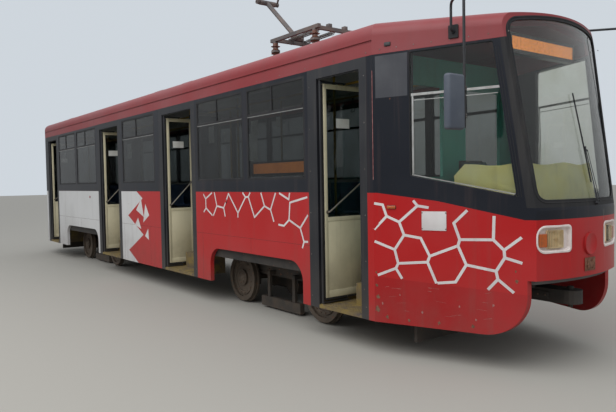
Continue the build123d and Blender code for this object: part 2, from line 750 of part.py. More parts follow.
beam_y = (560.0, 680.0)
frame_z = (rail + 430, rail + 570)
housing = 120.0


def bogie_frame(x):
    """Inside-bearing frame: two side beams, two cross beams, bearing housings and centre plate."""
    frame = None
    for side in (-1, 1):
        y = tuple(sorted((side * beam_y[0], side * beam_y[1])))
        beam = box((x - wheelbase / 2 - 160, x + wheelbase / 2 + 160), y, frame_z)
        frame = beam if frame is None else frame + beam
        for end in (-1, 1):
            axle_x = x + end * wheelbase / 2
            frame += box((axle_x - housing, axle_x + housing), y, (axle_z - housing, frame_z[0]))
            bore_ends = ((axle_x, y[0] - 10, axle_z), (axle_x, y[1] + 10, axle_z))
            frame -= socket(*bore_ends, axle_radius + running_gap, 16)
        frame += prism((x, side * 620, frame_z[1]), (x, side * 620, beam_z[0] - running_gap), 95)
    for end in (-1, 1):
        frame += box((x + end * 330 - 60, x + end * 330 + 60), (-beam_y[0], beam_y[0]), frame_z)
    frame += box((x - 270, x + 270), (-260, 260), (frame_z[0] + 20, frame_z[1]))
    frame += prism((x, 0, frame_z[1]), (x, 0, beam_z[0] - running_gap), 190, 16)
    return frame - socket((x, 0, frame_z[0] - 50), (x, 0, beam_z[0] + 10), kingpin_radius + running_gap, 16)


def bogie_motors(x):
    """Two motors on the cross beams, each with a gear case round its axle."""
    pieces = []
    for end in (-1, 1):
        motor_x = x + end * 400
        motor = prism((motor_x, -300, rail + 255), (motor_x, 300, rail + 255), 165, 12)
        motor += box((motor_x - 60, motor_x + 60), (-200, 200), (rail + 300, frame_z[0]))
        axle_x = x + end * wheelbase / 2
        case_x = tuple(sorted((motor_x + end * 40, axle_x + end * 40)))
        motor += box(case_x, (-250, -90), (rail + 170, rail + 400))
        motor += prism((axle_x, -250, axle_z), (axle_x, -90, axle_z), 200, 12)
        motor -= socket((axle_x, -400, axle_z), (axle_x, 400, axle_z), axle_radius + running_gap, 16)
        pieces.append(motor)
    return pieces


def rail_brakes(x):
    """A track brake shoe hung beside each side beam, just above the rail."""
    pieces = []
    for side in (-1, 1):
        y = tuple(sorted((side * 727, side * 797)))
        shoe = box((x - 470, x + 470), y, (rail + 10, rail + 150))
        hanger_y = tuple(sorted((side * beam_y[1], side * 780)))
        for end in (-1, 1):
            hang_x = (x + end * 300 - 30, x + end * 300 + 30)
            shoe += box(hang_x, hanger_y, (frame_z[0] + 30, frame_z[0] + 80))
            shoe += box(hang_x, tuple(sorted((side * 740, side * 780))), (rail + 150, frame_z[0] + 80))
        pieces.append(shoe)
    return pieces


def pantograph_base():
    """Square-tube frame on four ribbed insulators, with the arm's two bearing ears."""
    low_z, high_z = base_frame_z - 25, base_frame_z + 25
    frame = None
    for y in insulator_y:
        bar = box(base_x, (y - 25, y + 25), (low_z, high_z))
        frame = bar if frame is None else frame + bar
    for x in insulator_x:
        frame += box((x - 25, x + 25), (insulator_y[0], insulator_y[1]), (low_z, high_z))
        for y in insulator_y:
            frame += prism((x, y, roof_pad_z), (x, y, low_z), insulator_radius)
            for ring in range(insulator_rings):
                ring_z = roof_pad_z + ring_start + ring * ring_pitch
                frame += prism((x, y, ring_z), (x, y, ring_z + ring_thickness), ring_radius)
    for y in (-95, 75):
        frame += box((foot[0] - 40, foot[0] + 40), (y, y + 20), (low_z, foot[2] + 45))
    return frame - socket((foot[0], -200, foot[2]), (foot[0], 200, foot[2]), foot_pin_radius + running_gap)


def pantograph_lower():
    """One stout tube from the foot's pin to the knee's cross tube."""
    arm = prism(foot, knee, 36)
    arm += prism((foot[0], -74, foot[2]), (foot[0], 74, foot[2]), 45)
    arm += rod((foot[0], -110, foot[2]), (foot[0], 110, foot[2]), foot_pin_radius)
    arm += prism((knee[0], -150, knee[2]), (knee[0], 150, knee[2]), 42)
    arm += rod((knee[0], -knee_half + 10, knee[2]), (knee[0], knee_half - 10, knee[2]), knee_pin_radius)
    return arm


def pantograph_upper():
    """Two thin tubes that run together from the knee to the head's shaft."""
    arm = rod((head[0], -head_lug_y - 20, head[2]), (head[0], head_lug_y + 20, head[2]), head_pin_radius)
    for side in (-1, 1):
        y = side * (knee_half - 20)
        arm += prism((knee[0], y, knee[2]), (head[0], side * 60, head[2]), 16)
        arm += prism((knee[0], y - 20, knee[2]), (knee[0], y + 20, knee[2]), 36)
    return arm - socket((knee[0], -400, knee[2]), (knee[0], 400, knee[2]), knee_pin_radius + running_gap)


def pantograph_head():
    """Two contact strips on a light frame that swings on the upper arm's shaft."""
    pieces = None
    for side in (-1, 1):
        y = side * head_lug_y
        lug = prism((head[0], y - 12, head[2]), (head[0], y + 12, head[2]), 28)
        lug += box((head[0] - 150, head[0] + 150), (y - 12, y + 12), (head[2] + 16, head[2] + 40))
        pieces = lug if pieces is None else pieces + lug
    for end in (-1, 1):
        x = head[0] + end * 150
        pieces += box((x - 25, x + 25), (-strip_half, strip_half), (head[2] + 40, head[2] + 65))
        for side in (-1, 1):
            root = (x, side * (strip_half - 10), head[2] + 50)
            pieces += prism(root, (x, side * (strip_half + horn_reach), head[2] + 50 - horn_drop), 12, 6)
    return pieces - socket((head[0], -400, head[2]), (head[0], 400, head[2]), head_pin_radius + running_gap)


# Saloon and cab fittings
def seat(x, y):
    """A moulded seat shell on a pedestal."""
    shell = box((x - 210, x + 210), (y - 210, y + 210), (floor_z + 400, floor_z + 450))
    shell += box((x - 210, x - 165), (y - 210, y + 210), (floor_z + 450, floor_z + 900))
    shell += box((x - 40, x + 40), (y - 40, y + 40), (floor_z, floor_z + 400))
    return shell


def double_seat(x):
    """Two seats side by side on the closed side of the car, on one pedestal."""
    shell = box((x - 210, x + 210), (290, 1150), (floor_z + 400, floor_z + 450))
    shell += box((x - 210, x - 165), (290, 1150), (floor_z + 450, floor_z + 900))
    return shell + box((x - 40, x + 40), (680, 760), (floor_z, floor_z + 400))


single_seat_x = [-4600, -3850, -3100, -500, 250, 2700, 3450, 4200]
seats = [seat(x, -940) for x in single_seat_x]
seats += [double_seat(x) for x in range(-6000, 5300, 760)]

stanchion_x = [-4980, -2800, -780, 700, 2350, 4700]
stanchion_y = (-620.0, 200.0)
handrails = [prism((x, y, floor_z), (x, y, ceiling_z), 16) for y in stanchion_y for x in stanchion_x]

partition_x = (ceiling_front_x, ceiling_front_x + 40)
partition = box(partition_x, (-half_width + wall, half_width - wall), (floor_z, fascia_z))
partition += box(partition_x, ceiling_y, (fascia_z, ceiling_top_z))
for window_y in ((-900, -150), (250, 900)):
    cut_x = (partition_x[0] - 10, partition_x[1] + 10)
    partition -= box(cut_x, window_y, (window_low_z, rail + 2800))

driver_seat = box((6350, 6800), (-230, 230), (floor_z + 420, floor_z + 520))
driver_seat += box((6300, 6370), (-230, 230), (floor_z + 520, floor_z + 1120))
driver_seat += prism((6575, 0, floor_z), (6575, 0, floor_z + 420), 60)
dashboard = (
    nose_form(wall, floor_z, rail + 2000)
    & box((7150, 7700), everywhere, (floor_z, rail + 1500))
)

front_sign = box((7130, 7200), (-560, 560), (rail + 2950, rail + 3140))
side_sign = box((3590, 4945), (-half_width + wall, -half_width + wall + 40), (rail + 1850, rail + 2040))

# Headlamps: bezel ring round a lamp, tail lamps at the rear
lamp_form = nose_form(-lamp_rim) - nose_form(wall)
headlamps = []
for cut in lamp_cuts:
    bezel = lamp_form & cut
    headlamps.append(bezel)
tail_lamp_form = tail_form(-8, bumper_z, fascia_z) - tail_form(30, bumper_z - 10, fascia_z + 10)
tail_lamps = []
for side in (-1, 1):
    y = tuple(sorted((side * 560, side * 760)))
    lamp_cut = end_panel(y, (rail + 1100, rail + 1330), (rear_x - 100, rear_corner_x + 60))
    rear_wall -= lamp_cut
    tail_lamps.append(tail_lamp_form & lamp_cut)


# Mirrors on bent tubes from the cab's fascia
def door_mirror():
    """Flat-backed mirror on a tube that rises from a plate on the tapered fascia."""
    plate_x = 6866.0
    plate_y = -half_width + nose_slope * (plate_x - front_taper_x)
    length = math.sqrt(1 + nose_slope**2)
    out = (nose_slope / length, -1 / length)
    plate_z = rail + 3150
    plate = prism((plate_x, plate_y, plate_z), (plate_x + 14 * out[0], plate_y + 14 * out[1], plate_z), 45)
    stub = (plate_x + 70 * out[0], plate_y + 70 * out[1], plate_z)
    tube_x, tube_y = 7320.0, -1367.0
    points = [
        (plate_x + 8 * out[0], plate_y + 8 * out[1], plate_z),
        stub,
        (stub[0], stub[1], rail + 3400),
        (tube_x, tube_y, rail + 3400),
        (tube_x, tube_y, rail + 2250),
    ]
    back = side_panel((tube_x - 50, tube_x + 30), (rail + 2180, rail + 2645), (-1590, -1385))
    back = chamfer(back.edges().filter_by(Axis.Y), 25)
    clamp = box((tube_x - 20, tube_x + 20), (-1390, tube_y + 20), (rail + 2350, rail + 2390))
    return plate + tube(points, 13) + back + clamp


mirror_right = door_mirror()
mirrors = [mirror_right, mirrored(mirror_right)]

# Windshield wiper: pivot boss, arm and blade in front of the pane
def on_nose(y, z, stand_off):
    return (nose_surface_x(y, z) + stand_off, y, z)


boss_radius = 16.0
boss_height = 30.7
boss_clearance = 0.5 + boss_radius * (nose_lean + 120.0 / front_bow_radius)
wiper_foot = (120.0, rail + 1525)
wiper_joint = (10.0, rail + 2050)
blade_low = (60.0, rail + 1720)
blade_high = (-60.0, rail + 2560)
wiper = prism(on_nose(*wiper_foot, boss_clearance), on_nose(*wiper_foot, boss_height), boss_radius)
wiper += prism(on_nose(*wiper_foot, 24), on_nose(*wiper_joint, 26), 7, 6)
wiper += prism(on_nose(*wiper_joint, 8), on_nose(*wiper_joint, 30), 9, 6)
wiper += prism(on_nose(*blade_low, 12), on_nose(*blade_high, 12), 6, 6)

# Plain relief disc and towing lug on the mask
disc_z = rail + 1149
disc_radius = 107.0
disc_height = 12.0
lug_x = (front_x + running_gap, front_x + 18)
mask_disc = prism((front_x + running_gap, 0, disc_z), (front_x + disc_height, 0, disc_z), disc_radius, 24)
towing_lug = box(lug_x, (-45, 45), (rail + 925, rail + 980))
mask_fittings = [mask_disc, towing_lug]

# Side lamps: one on each tapered fascia, one in the dark band behind each cab window
marker_depth = 14.0


def side_lamp(x, z, length, height):
    """A block lamp on the tapered cab side, standing off by the running gap."""
    place_y = half_width - nose_slope * (x - front_taper_x)
    turn = math.degrees(math.atan(nose_slope))
    lamp = box((-length / 2, length / 2), (running_gap, marker_depth), (-height / 2, height / 2))
    return Pos(x, place_y, z) * Rot(0, 0, -turn) * lamp


side_lamps = []
for lamp_piece in (side_lamp(6230, rail + 3125, 70, 40), side_lamp(6252, rail + 1500, 100, 36)):
    side_lamps += [lamp_piece, mirrored(lamp_piece)]

# Couplers folded under both ends, life guards and underfloor boxes
couplers = []
for end in (-1, 1):
    x = tuple(sorted((end * 7040, end * 7480)))
    bar = box(x, (-110, 110), (rail + 560, rail + 690))
    eye = prism((end * 7480, 0, rail + 560), (end * 7480, 0, rail + 690), 110, 16)
    couplers.append(bar + eye - rod((end * 7480, 0, rail + 500), (end * 7480, 0, rail + 760), 25))
life_guards = []
for end in (-1, 1):
    x = end * 6350
    guard = box((x - 20, x + 20), (-950, 950), (rail + 110, rail + 300))
    for y in (-205, 205):
        guard += box((x - 30, x + 30), (y - 30, y + 30), (rail + 300, beam_z[0]))
    life_guards.append(guard)
underfloor_boxes = [
    box((-1900, -700), (300, 1050), (rail + 340, beam_z[0])),
    box((-500, 500), (-1050, 1050), (rail + 360, beam_z[0])),
    box((750, 1900), (300, 1050), (rail + 340, beam_z[0])),
]
roof_boxes = [
    box(x, (-roof_box_half, roof_box_half), (roof_pad_z, roof_pad_z + roof_box_height)) for x in roof_box_x
]

nodes = {
    "underframe": underframe,
    "floor": floor_panels,
    "right_wall": right_wall,
    "left_wall": [left_wall],
    "roof": [roof],
    "ceiling": [ceiling],
    "cab_sides": cab_sides,
    "cab_side_glass": cab_side_glass,
    "front_mask": [front_mask],
    "windshield_surround": [windshield_surround],
    "windshield": [windshield],
    "rear_wall": [rear_wall],
    "rear_glass": rear_glass,
    "window_frames": window_frames,
    "saloon_glass": saloon_glass,
    "door_frames": door_frames,
    "step_wells": step_wells,
    "seats": seats,
    "handrails": handrails,
    "cab_partition": [partition],
    "driver_seat": [driver_seat],
    "dashboard": [dashboard],
    "destination_signs": [front_sign, side_sign],
    "headlamps": headlamps,
    "tail_lamps": tail_lamps,
    "mirrors": mirrors,
    "wiper": [wiper],
    "mask_fittings": mask_fittings,
    "side_lamps": side_lamps,
    "couplers": couplers,
    "life_guards": life_guards,
    "underfloor_boxes": underfloor_boxes,
    "roof_boxes": roof_boxes,
    "pantograph_base": [pantograph_base()],
    "pantograph_lower_arm": [pantograph_lower()],
    "pantograph_upper_arm": [pantograph_upper()],
    "pantograph_head": [pantograph_head()],
}
for place, x in (("front", pivot_x), ("rear", -pivot_x)):
    nodes[f"{place}_bogie_frame"] = [bogie_frame(x)]
    nodes[f"{place}_bogie_motors"] = bogie_motors(x)
    nodes[f"{place}_rail_brakes"] = rail_brakes(x)
    nodes[f"{place}_bogie_front_axle"] = [wheelset(x + wheelbase / 2)]
    nodes[f"{place}_bogie_rear_axle"] = [wheelset(x - wheelbase / 2)]
for name, (_, _, _, _, leaves) in door_layout.items():
    for jamb in leaves:
        label = name if len(leaves) == 1 else f"{name}_{jamb}"
        post, leaf = door_parts(name, jamb)
        nodes[f"{label}_post"] = [post]
        nodes[f"{label}_leaf"] = leaf

for name, pieces in nodes.items():
    export_step(group(pieces), f"parts/{name}.step")
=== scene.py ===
# %% [markdown]
# # A single-car tram
# The imported model gives every solid its place. This file dresses it: paint, glass, rubber, lamps,
# springs, screws and the white line drawing.

# %% Load the imported model
import math
import random

import bmesh
import bpy
from mathutils import Matrix, Vector
from mathutils.geometry import delaunay_2d_cdt


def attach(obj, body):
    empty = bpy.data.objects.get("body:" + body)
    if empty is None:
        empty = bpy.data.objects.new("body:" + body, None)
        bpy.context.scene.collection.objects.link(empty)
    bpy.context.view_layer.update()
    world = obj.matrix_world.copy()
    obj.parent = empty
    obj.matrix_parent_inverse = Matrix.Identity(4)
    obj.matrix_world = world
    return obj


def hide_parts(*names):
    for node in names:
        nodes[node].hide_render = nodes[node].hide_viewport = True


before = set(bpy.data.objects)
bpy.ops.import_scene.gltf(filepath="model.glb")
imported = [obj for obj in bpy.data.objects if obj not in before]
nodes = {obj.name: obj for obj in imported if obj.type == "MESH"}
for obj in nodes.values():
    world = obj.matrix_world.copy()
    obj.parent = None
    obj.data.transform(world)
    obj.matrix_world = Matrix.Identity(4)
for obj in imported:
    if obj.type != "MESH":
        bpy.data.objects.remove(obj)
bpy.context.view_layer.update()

scene = bpy.context.scene

# %% [markdown]
# Heights are given above the plane that the wheels' treads roll on. The flanges reach lower than
# that, so the model's zero lies one flange depth below it. X points forward and Y left.
# Both ends taper in plan; the nose is bowed, and above the belt it leans back.

# %% Sizes shared by many pieces, in metres
rail = 0.022
half_width = 1.25
floor_z, belt_z, fascia_z = rail + 0.86, rail + 1.645, rail + 3.042
crown_z, crown_radius = rail + 3.52, 4.699
taper_x, nose_corner_x, nose_half_width = 6.066, 7.5, 0.712
nose_tip_x, windshield_top_x = 7.675, 7.395
nose_slope = (half_width - nose_half_width) / (nose_corner_x - taper_x)
tail_taper_x, tail_corner_x, tail_half_width = -6.59, -7.56, 0.886
tail_slope = (half_width - tail_half_width) / (tail_taper_x - tail_corner_x)
tail_tip_x, tail_radius = -7.696, 2.95
bow_radius = 2.1
lean_z, lean = rail + 1.48, (nose_tip_x - windshield_top_x) / 2.02
lean_angle = math.atan(lean)
bow_axis_x = nose_tip_x - bow_radius
bow_axis_z = lean_z - bow_radius * math.tan(lean_angle / 2)
bogie_x, wheelbase = 3.675, 1.94

# Each doorway: its rear and front end, the jambs' widths, and the jambs that carry a leaf.
doors = {
    "door_1": (4.975, 5.975, 0.168, 0.110, ("rear",)),
    "door_2": (0.760, 2.100, 0.140, 0.130, ("rear", "front")),
    "door_3": (-2.420, -1.080, 0.150, 0.140, ("rear", "front")),
    "door_4": (-6.450, -5.450, 0.154, 0.110, ("rear",)),
}
openings = {name: (d[0] + d[2], d[1] - d[3]) for name, d in doors.items()}


def nose_x(y, z, stand_off=0.0):
    """Where the nose's outer face lies at a place in front view."""
    bow = math.sqrt(bow_radius**2 - y**2)
    leaning = (bow - (z - bow_axis_z) * math.sin(lean_angle)) / math.cos(lean_angle)
    return bow_axis_x + min(bow, leaning) + stand_off


def side_y(x):
    """Half the body's width at a place along the car."""
    if x > taper_x:
        return half_width - nose_slope * (x - taper_x)
    if x < tail_taper_x:
        return half_width - tail_slope * (tail_taper_x - x)
    return half_width


def on_side(x, side, z, out=0.0):
    """A place on the body's left (1) or right (-1) side, moved out across the car."""
    return Vector((x, side * (side_y(x) + out), z))


def cab_way(side):
    """The way that a tapered cab side faces."""
    return Vector((nose_slope, side, 0)).normalized()


def crown_height(y):
    """The roof's outer height at a place across the car."""
    return crown_z - crown_radius + math.sqrt(crown_radius**2 - y**2)


print("nose slope", round(nose_slope, 3), "lean", round(lean, 3))

# %% [markdown]
# The camera stands where the photograph was taken from: low, ahead of the car and to its right,
# with a short lens. Its place was worked out from the straight edges of the body.

# %% Camera
camera_place = Vector((10.668, -5.556, 1.795))
yaw, pitch, roll = math.radians(37.003), math.radians(2.289), math.radians(-0.990)
ahead = Vector((-math.cos(yaw) * math.cos(pitch), math.sin(yaw) * math.cos(pitch), -math.sin(pitch)))
level_right = Vector((math.sin(yaw), math.cos(yaw), 0))
right = math.cos(roll) * level_right + math.sin(roll) * level_right.cross(ahead)
up = right.cross(ahead)
camera = bpy.data.objects.new("camera", bpy.data.cameras.new("camera"))
scene.collection.objects.link(camera)
camera.matrix_world = Matrix.Translation(camera_place) @ Matrix((right, up, -ahead)).transposed().to_4x4()
camera.data.sensor_width = 36.0
camera.data.lens = 35.90
camera.data.clip_end = 300
scene.camera = camera
scene.view_settings.view_transform = "Standard"
print("camera at", [round(v, 3) for v in camera_place])

# %% [markdown]
# Materials, node groups and geometry trees are all built from nodes. A few helpers keep that short:
# one that links a socket or sets its value, and one for each kind of node that comes often.

# %% Helpers for nodes
def put(tree, socket, value):
    """Links a socket to another one, or sets its value."""
    if isinstance(value, bpy.types.NodeSocket):
        tree.links.new(value, socket)
    else:
        socket.default_value = value


def feed(tree, node, **values):
    """Fills a node's inputs by name, with _ for a space."""
    for key, value in values.items():
        name = key.replace("_", " ")
        put(tree, next(s for s in node.inputs if s.name == name and s.enabled), value)
    return node


def add(tree, kind, settings=None, **values):
    """A node with its settings and its inputs."""
    node = tree.nodes.new(kind)
    for key, value in (settings or {}).items():
        setattr(node, key, value)
    return feed(tree, node, **values)


def calc(tree, operation, *terms, clamp=False):
    """One Math node; each term is a number or a socket."""
    node = add(tree, "ShaderNodeMath", {"operation": operation, "use_clamp": clamp})
    for socket, term in zip(node.inputs, terms):
        put(tree, socket, term)
    return node.outputs[0]


def mixed(tree, factor, first, second):
    """One colour Mix node; each colour is a tuple or a socket."""
    node = add(tree, "ShaderNodeMix", {"data_type": "RGBA"})
    for number, value in ((0, factor), (6, first), (7, second)):
        put(tree, node.inputs[number], value)
    return node.outputs[2]


def ramp(tree, value, low, high):
    """0 below low, 1 above high, smooth between."""
    settings = {"interpolation_type": "SMOOTHSTEP"}
    node = add(tree, "ShaderNodeMapRange", settings, Value=value, From_Min=low, From_Max=high)
    return node.outputs["Result"]


def noise(tree, place, scale, detail, **more):
    """Cloudy noise of one scale."""
    return add(tree, "ShaderNodeTexNoise", Vector=place, Scale=scale, Detail=detail, **more).outputs["Fac"]


def new_tree(name, kind, inputs, outputs):
    """A node group with named sockets; returns it, what it is given, and its end node."""
    tree = bpy.data.node_groups.new(name, kind)
    for way, sockets in (("INPUT", inputs), ("OUTPUT", outputs)):
        for label, form in sockets.items():
            tree.interface.new_socket(name=label, in_out=way, socket_type="NodeSocket" + form)
    return tree, tree.nodes.new("NodeGroupInput").outputs, tree.nodes.new("NodeGroupOutput")


def new_material(name):
    """A material, its tree, its shader and the object's own coordinates."""
    material = bpy.data.materials.new(name)
    material.use_nodes = True
    tree = material.node_tree
    place = tree.nodes.new("ShaderNodeTexCoord").outputs["Object"]
    return material, tree, tree.nodes["Principled BSDF"], place


print("node helpers ready")

# %% [markdown]
# An overcast sky lights everything evenly from above. A plain world with a slightly brighter top
# does the same, one large soft lamp gives the roof and shoulders their direction, and a pale grey
# floor throws a little light back up under the skirt. The camera itself sees another background
# than the light that falls on the tram.

# %% Floor, world and lamp
floor_reach = 120.0
floor_material, tree, shader, place = new_material("pale_floor")
floor_bump = add(tree, "ShaderNodeBump", Height=noise(tree, place, 60.0, 2.0), Strength=0.06)
feed(tree, shader, Base_Color=(0.36, 0.345, 0.31, 1), Roughness=0.9, Normal=floor_bump.outputs["Normal"])
floor_mesh = bpy.data.meshes.new("studio_floor")
floor_corners = [(a * floor_reach, b * floor_reach, 0) for a, b in ((-1, -1), (1, -1), (1, 1), (-1, 1))]
floor_mesh.from_pydata(floor_corners, [], [(0, 1, 2, 3)])
floor_mesh.materials.append(floor_material)
studio_floor = bpy.data.objects.new("studio_floor", floor_mesh)
scene.collection.objects.link(studio_floor)

world = bpy.data.worlds.new("overcast")
world.use_nodes = True
scene.world = world
sky = world.node_tree
sky.nodes.clear()
sky_place = sky.nodes.new("ShaderNodeTexCoord").outputs["Generated"]
sky_height = add(sky, "ShaderNodeSeparateXYZ", Vector=sky_place).outputs["Z"]
sky_ramp = add(sky, "ShaderNodeValToRGB", Fac=sky_height)
sky_tones = ((0.0, (0.30, 0.31, 0.32, 1)), (0.7, (0.90, 0.93, 0.97, 1)))
for element, (position, colour) in zip(sky_ramp.color_ramp.elements, sky_tones):
    element.position = position
    element.color = colour
sky_light = add(sky, "ShaderNodeBackground", Color=sky_ramp.outputs["Color"])
sky_seen = add(sky, "ShaderNodeBackground", Color=(0.62, 0.67, 0.72, 1))
sky_mix = sky.nodes.new("ShaderNodeMixShader")
camera_ray = sky.nodes.new("ShaderNodeLightPath").outputs["Is Camera Ray"]
for socket, value in zip(sky_mix.inputs, (camera_ray, sky_light.outputs[0], sky_seen.outputs[0])):
    put(sky, socket, value)
add(sky, "ShaderNodeOutputWorld", Surface=sky_mix.outputs[0])

lamp = bpy.data.objects.new("soft_lamp", bpy.data.lights.new("soft_lamp", "AREA"))
lamp.data.shape = "RECTANGLE"
lamp.data.size = 18.0
lamp.data.size_y = 10.0
lamp.data.energy = 1200.0
lamp.location = (6.0, -9.0, 11.0)
lamp.rotation_euler = (Vector((2.0, 0, 1.0)) - lamp.location).to_track_quat("-Z", "Y").to_euler()
scene.collection.objects.link(lamp)
print("lamp power", lamp.data.energy)

# %% [markdown]
# Paint on an old tram is never one colour: it fades in clouds, dirt settles on it from below and
# small chips show along edges. Those effects are wanted in many finishes, so each is a shader node
# group with named inputs, built once and given other values in each material.

# %% Node groups: fading, grime, chips and fine grain
fading, given, out = new_tree(
    "fading", "ShaderNodeTree",
    {"Vector": "Vector", "Colour": "Color", "Faded": "Color", "Cloud Scale": "Float", "Amount": "Float"},
    {"Colour": "Color", "Cloud": "Float"},
)
cloud_mask = ramp(fading, noise(fading, given["Vector"], given["Cloud Scale"], 6.0), 0.35, 0.7)
cloud_amount = calc(fading, "MULTIPLY", cloud_mask, given["Amount"])
feed(fading, out, Colour=mixed(fading, cloud_amount, given["Colour"], given["Faded"]), Cloud=cloud_mask)

grime, given, out = new_tree(
    "grime", "ShaderNodeTree",
    {
        "Vector": "Vector", "Colour": "Color", "Dirt": "Color", "Low": "Float", "High": "Float",
        "Amount": "Float", "Streaks": "Float",
    },
    {"Colour": "Color", "Mask": "Float"},
)
height = add(grime, "ShaderNodeSeparateXYZ", Vector=given["Vector"]).outputs["Z"]
grime_cloud = noise(grime, given["Vector"], 3.5, 8.0, Roughness=0.65)
grime_break = calc(grime, "MULTIPLY_ADD", grime_cloud, 1.6, -0.35, clamp=True)
grime_low = calc(grime, "MULTIPLY", ramp(grime, height, given["High"], given["Low"]), grime_break)
streak_place = add(grime, "ShaderNodeMapping", Vector=given["Vector"], Scale=(14.0, 14.0, 0.7)).outputs[0]
streak_mask = ramp(grime, noise(grime, streak_place, 1.0, 4.0), 0.52, 0.72)
streak_amount = calc(grime, "MULTIPLY", streak_mask, given["Streaks"])
grime_mask = calc(grime, "MULTIPLY_ADD", grime_low, given["Amount"], streak_amount, clamp=True)
feed(grime, out, Colour=mixed(grime, grime_mask, given["Colour"], given["Dirt"]), Mask=grime_mask)

chips, given, out = new_tree(
    "chips", "ShaderNodeTree",
    {"Vector": "Vector", "Colour": "Color", "Bare": "Color", "Scale": "Float", "Amount": "Float"},
    {"Colour": "Color", "Mask": "Float"},
)
chip_limit = calc(chips, "MULTIPLY_ADD", given["Amount"], -0.35, 0.78)
chip_edge = calc(chips, "ADD", chip_limit, 0.03)
chip_mask = ramp(chips, noise(chips, given["Vector"], given["Scale"], 10.0), chip_limit, chip_edge)
feed(chips, out, Colour=mixed(chips, chip_mask, given["Colour"], given["Bare"]), Mask=chip_mask)

grain, given, out = new_tree(
    "fine_grain", "ShaderNodeTree", {"Vector": "Vector", "Scale": "Float", "Waves": "Float"},
    {"Height": "Float"},
)
grain_fine = noise(grain, given["Vector"], given["Scale"], 3.0)
grain_wide = noise(grain, given["Vector"], 2.2, 2.0)
feed(grain, out, Height=calc(grain, "MULTIPLY_ADD", grain_wide, given["Waves"], grain_fine))
print("shader groups", [g.name for g in bpy.data.node_groups])

# %% [markdown]
# Most finishes are then the same chain with other values: a colour that fades, grime from below,
# chips, a roughness that follows the dirt, and a fine bump. Only what changes over the surface is
# linked; one value for the whole surface is written on the shader's own socket.

# %% A maker for weathered finishes
def tone(red, green, blue):
    return (red, green, blue, 1.0)


def weather(tree, group, place, **values):
    """One of the shader groups, placed in a material."""
    return add(tree, "ShaderNodeGroup", {"node_tree": group}, Vector=place, **values).outputs


def finish_of(
    name, colour=None, faded=None, paint=None, clouds=1.5, fade=0.5, dirt=(0.10, 0.085, 0.07),
    dirt_z=(0.2, 1.0), dirt_amount=0.4, streaks=0.12, bare=(0.17, 0.075, 0.04), chip_scale=9.0,
    chip_amount=0.0,
    rough=0.4, rough_dirty=0.8, grain_scale=180.0, waves=0.3, bump=0.05, depth=0.002, metallic=0.0, coat=0.0,
    specular=0.5,
):
    """A weathered material; its fresh and faded colours are given, or laid out by paint()."""
    material, tree, shader, place = new_material(name)
    fresh, old = paint(tree, place) if paint else (tone(*colour), tone(*faded))
    cloudy = weather(tree, fading, place, Colour=fresh, Faded=old, Cloud_Scale=clouds, Amount=fade)
    last = cloudy["Colour"]
    if chip_amount:
        values = {"Bare": tone(*bare), "Scale": chip_scale, "Amount": chip_amount}
        last = weather(tree, chips, place, Colour=last, **values)["Colour"]
    dirty = weather(
        tree, grime, place, Colour=last, Dirt=tone(*dirt), Low=dirt_z[0], High=dirt_z[1], Amount=dirt_amount,
        Streaks=streaks,
    )
    dull = calc(tree, "MULTIPLY_ADD", dirty["Mask"], rough_dirty - rough, rough)
    grainy = weather(tree, grain, place, Scale=grain_scale, Waves=waves)["Height"]
    feed(
        tree, shader, Base_Color=dirty["Colour"], Metallic=metallic, Coat_Weight=coat, Coat_Roughness=0.12,
        Roughness=calc(tree, "MULTIPLY_ADD", cloudy["Cloud"], 0.08, dull, clamp=True),
        Specular_IOR_Level=specular,
        Normal=add(tree, "ShaderNodeBump", Height=grainy, Strength=bump, Distance=depth).outputs["Normal"],
    )
    return material


print("finishes are made from", fading.name, grime.name, chips.name, grain.name)

# %% [markdown]
# The body's colours are laid out by place: red roof and fascia, a dark band behind the windows
# whose lower edge runs down towards the nose, red below it, and a pale rear part that meets the
# red in plain triangles. The colour changes are straight masks on the object's own coordinates,
# so they stay on the body in every view.

# %% Body paint with its colour layout
red, pale_red, deep_red = tone(0.41, 0.011, 0.012), tone(0.42, 0.036, 0.038), tone(0.335, 0.006, 0.008)
dark_band, dusty_band = tone(0.010, 0.012, 0.018), tone(0.022, 0.024, 0.032)
white_paint, grey_white = tone(0.62, 0.62, 0.62), tone(0.48, 0.48, 0.47)
first_bend, second_bend = (6.1, 0.137), (6.7, 0.221)
second_bend_z, front_belt_z = 1.585, rail + 1.394


def livery(tree, place):
    """The layout of red, dark and white over the body; returns the fresh and the faded colour."""
    parts = add(tree, "ShaderNodeSeparateXYZ", Vector=place)
    x, z = parts.outputs["X"], parts.outputs["Z"]
    edge = belt_z
    for (start, slope), level in ((first_bend, belt_z), (second_bend, second_bend_z)):
        edge = calc(tree, "MINIMUM", calc(tree, "MULTIPLY_ADD", x, -slope, level + slope * start), edge)
    edge = calc(tree, "MAXIMUM", edge, front_belt_z)
    above_edge = calc(tree, "GREATER_THAN", z, edge)
    band = calc(tree, "MULTIPLY", above_edge, calc(tree, "LESS_THAN", z, fascia_z - 0.001))
    facets = calc(tree, "PINGPONG", calc(tree, "ADD", z, 0.11), 0.33)
    behind = calc(tree, "LESS_THAN", x, calc(tree, "MULTIPLY_ADD", facets, 2.2, -0.75))
    white = calc(tree, "MULTIPLY", behind, calc(tree, "LESS_THAN", z, edge))
    below_film = calc(tree, "LESS_THAN", z, calc(tree, "MULTIPLY_ADD", x, -0.05, rail + 1.095))
    skirt = calc(tree, "MULTIPLY", below_film, calc(tree, "GREATER_THAN", x, taper_x))
    fresh = mixed(tree, skirt, mixed(tree, white, red, white_paint), deep_red)
    worn = mixed(tree, white, pale_red, grey_white)
    return mixed(tree, band, fresh, dark_band), mixed(tree, band, worn, dusty_band)


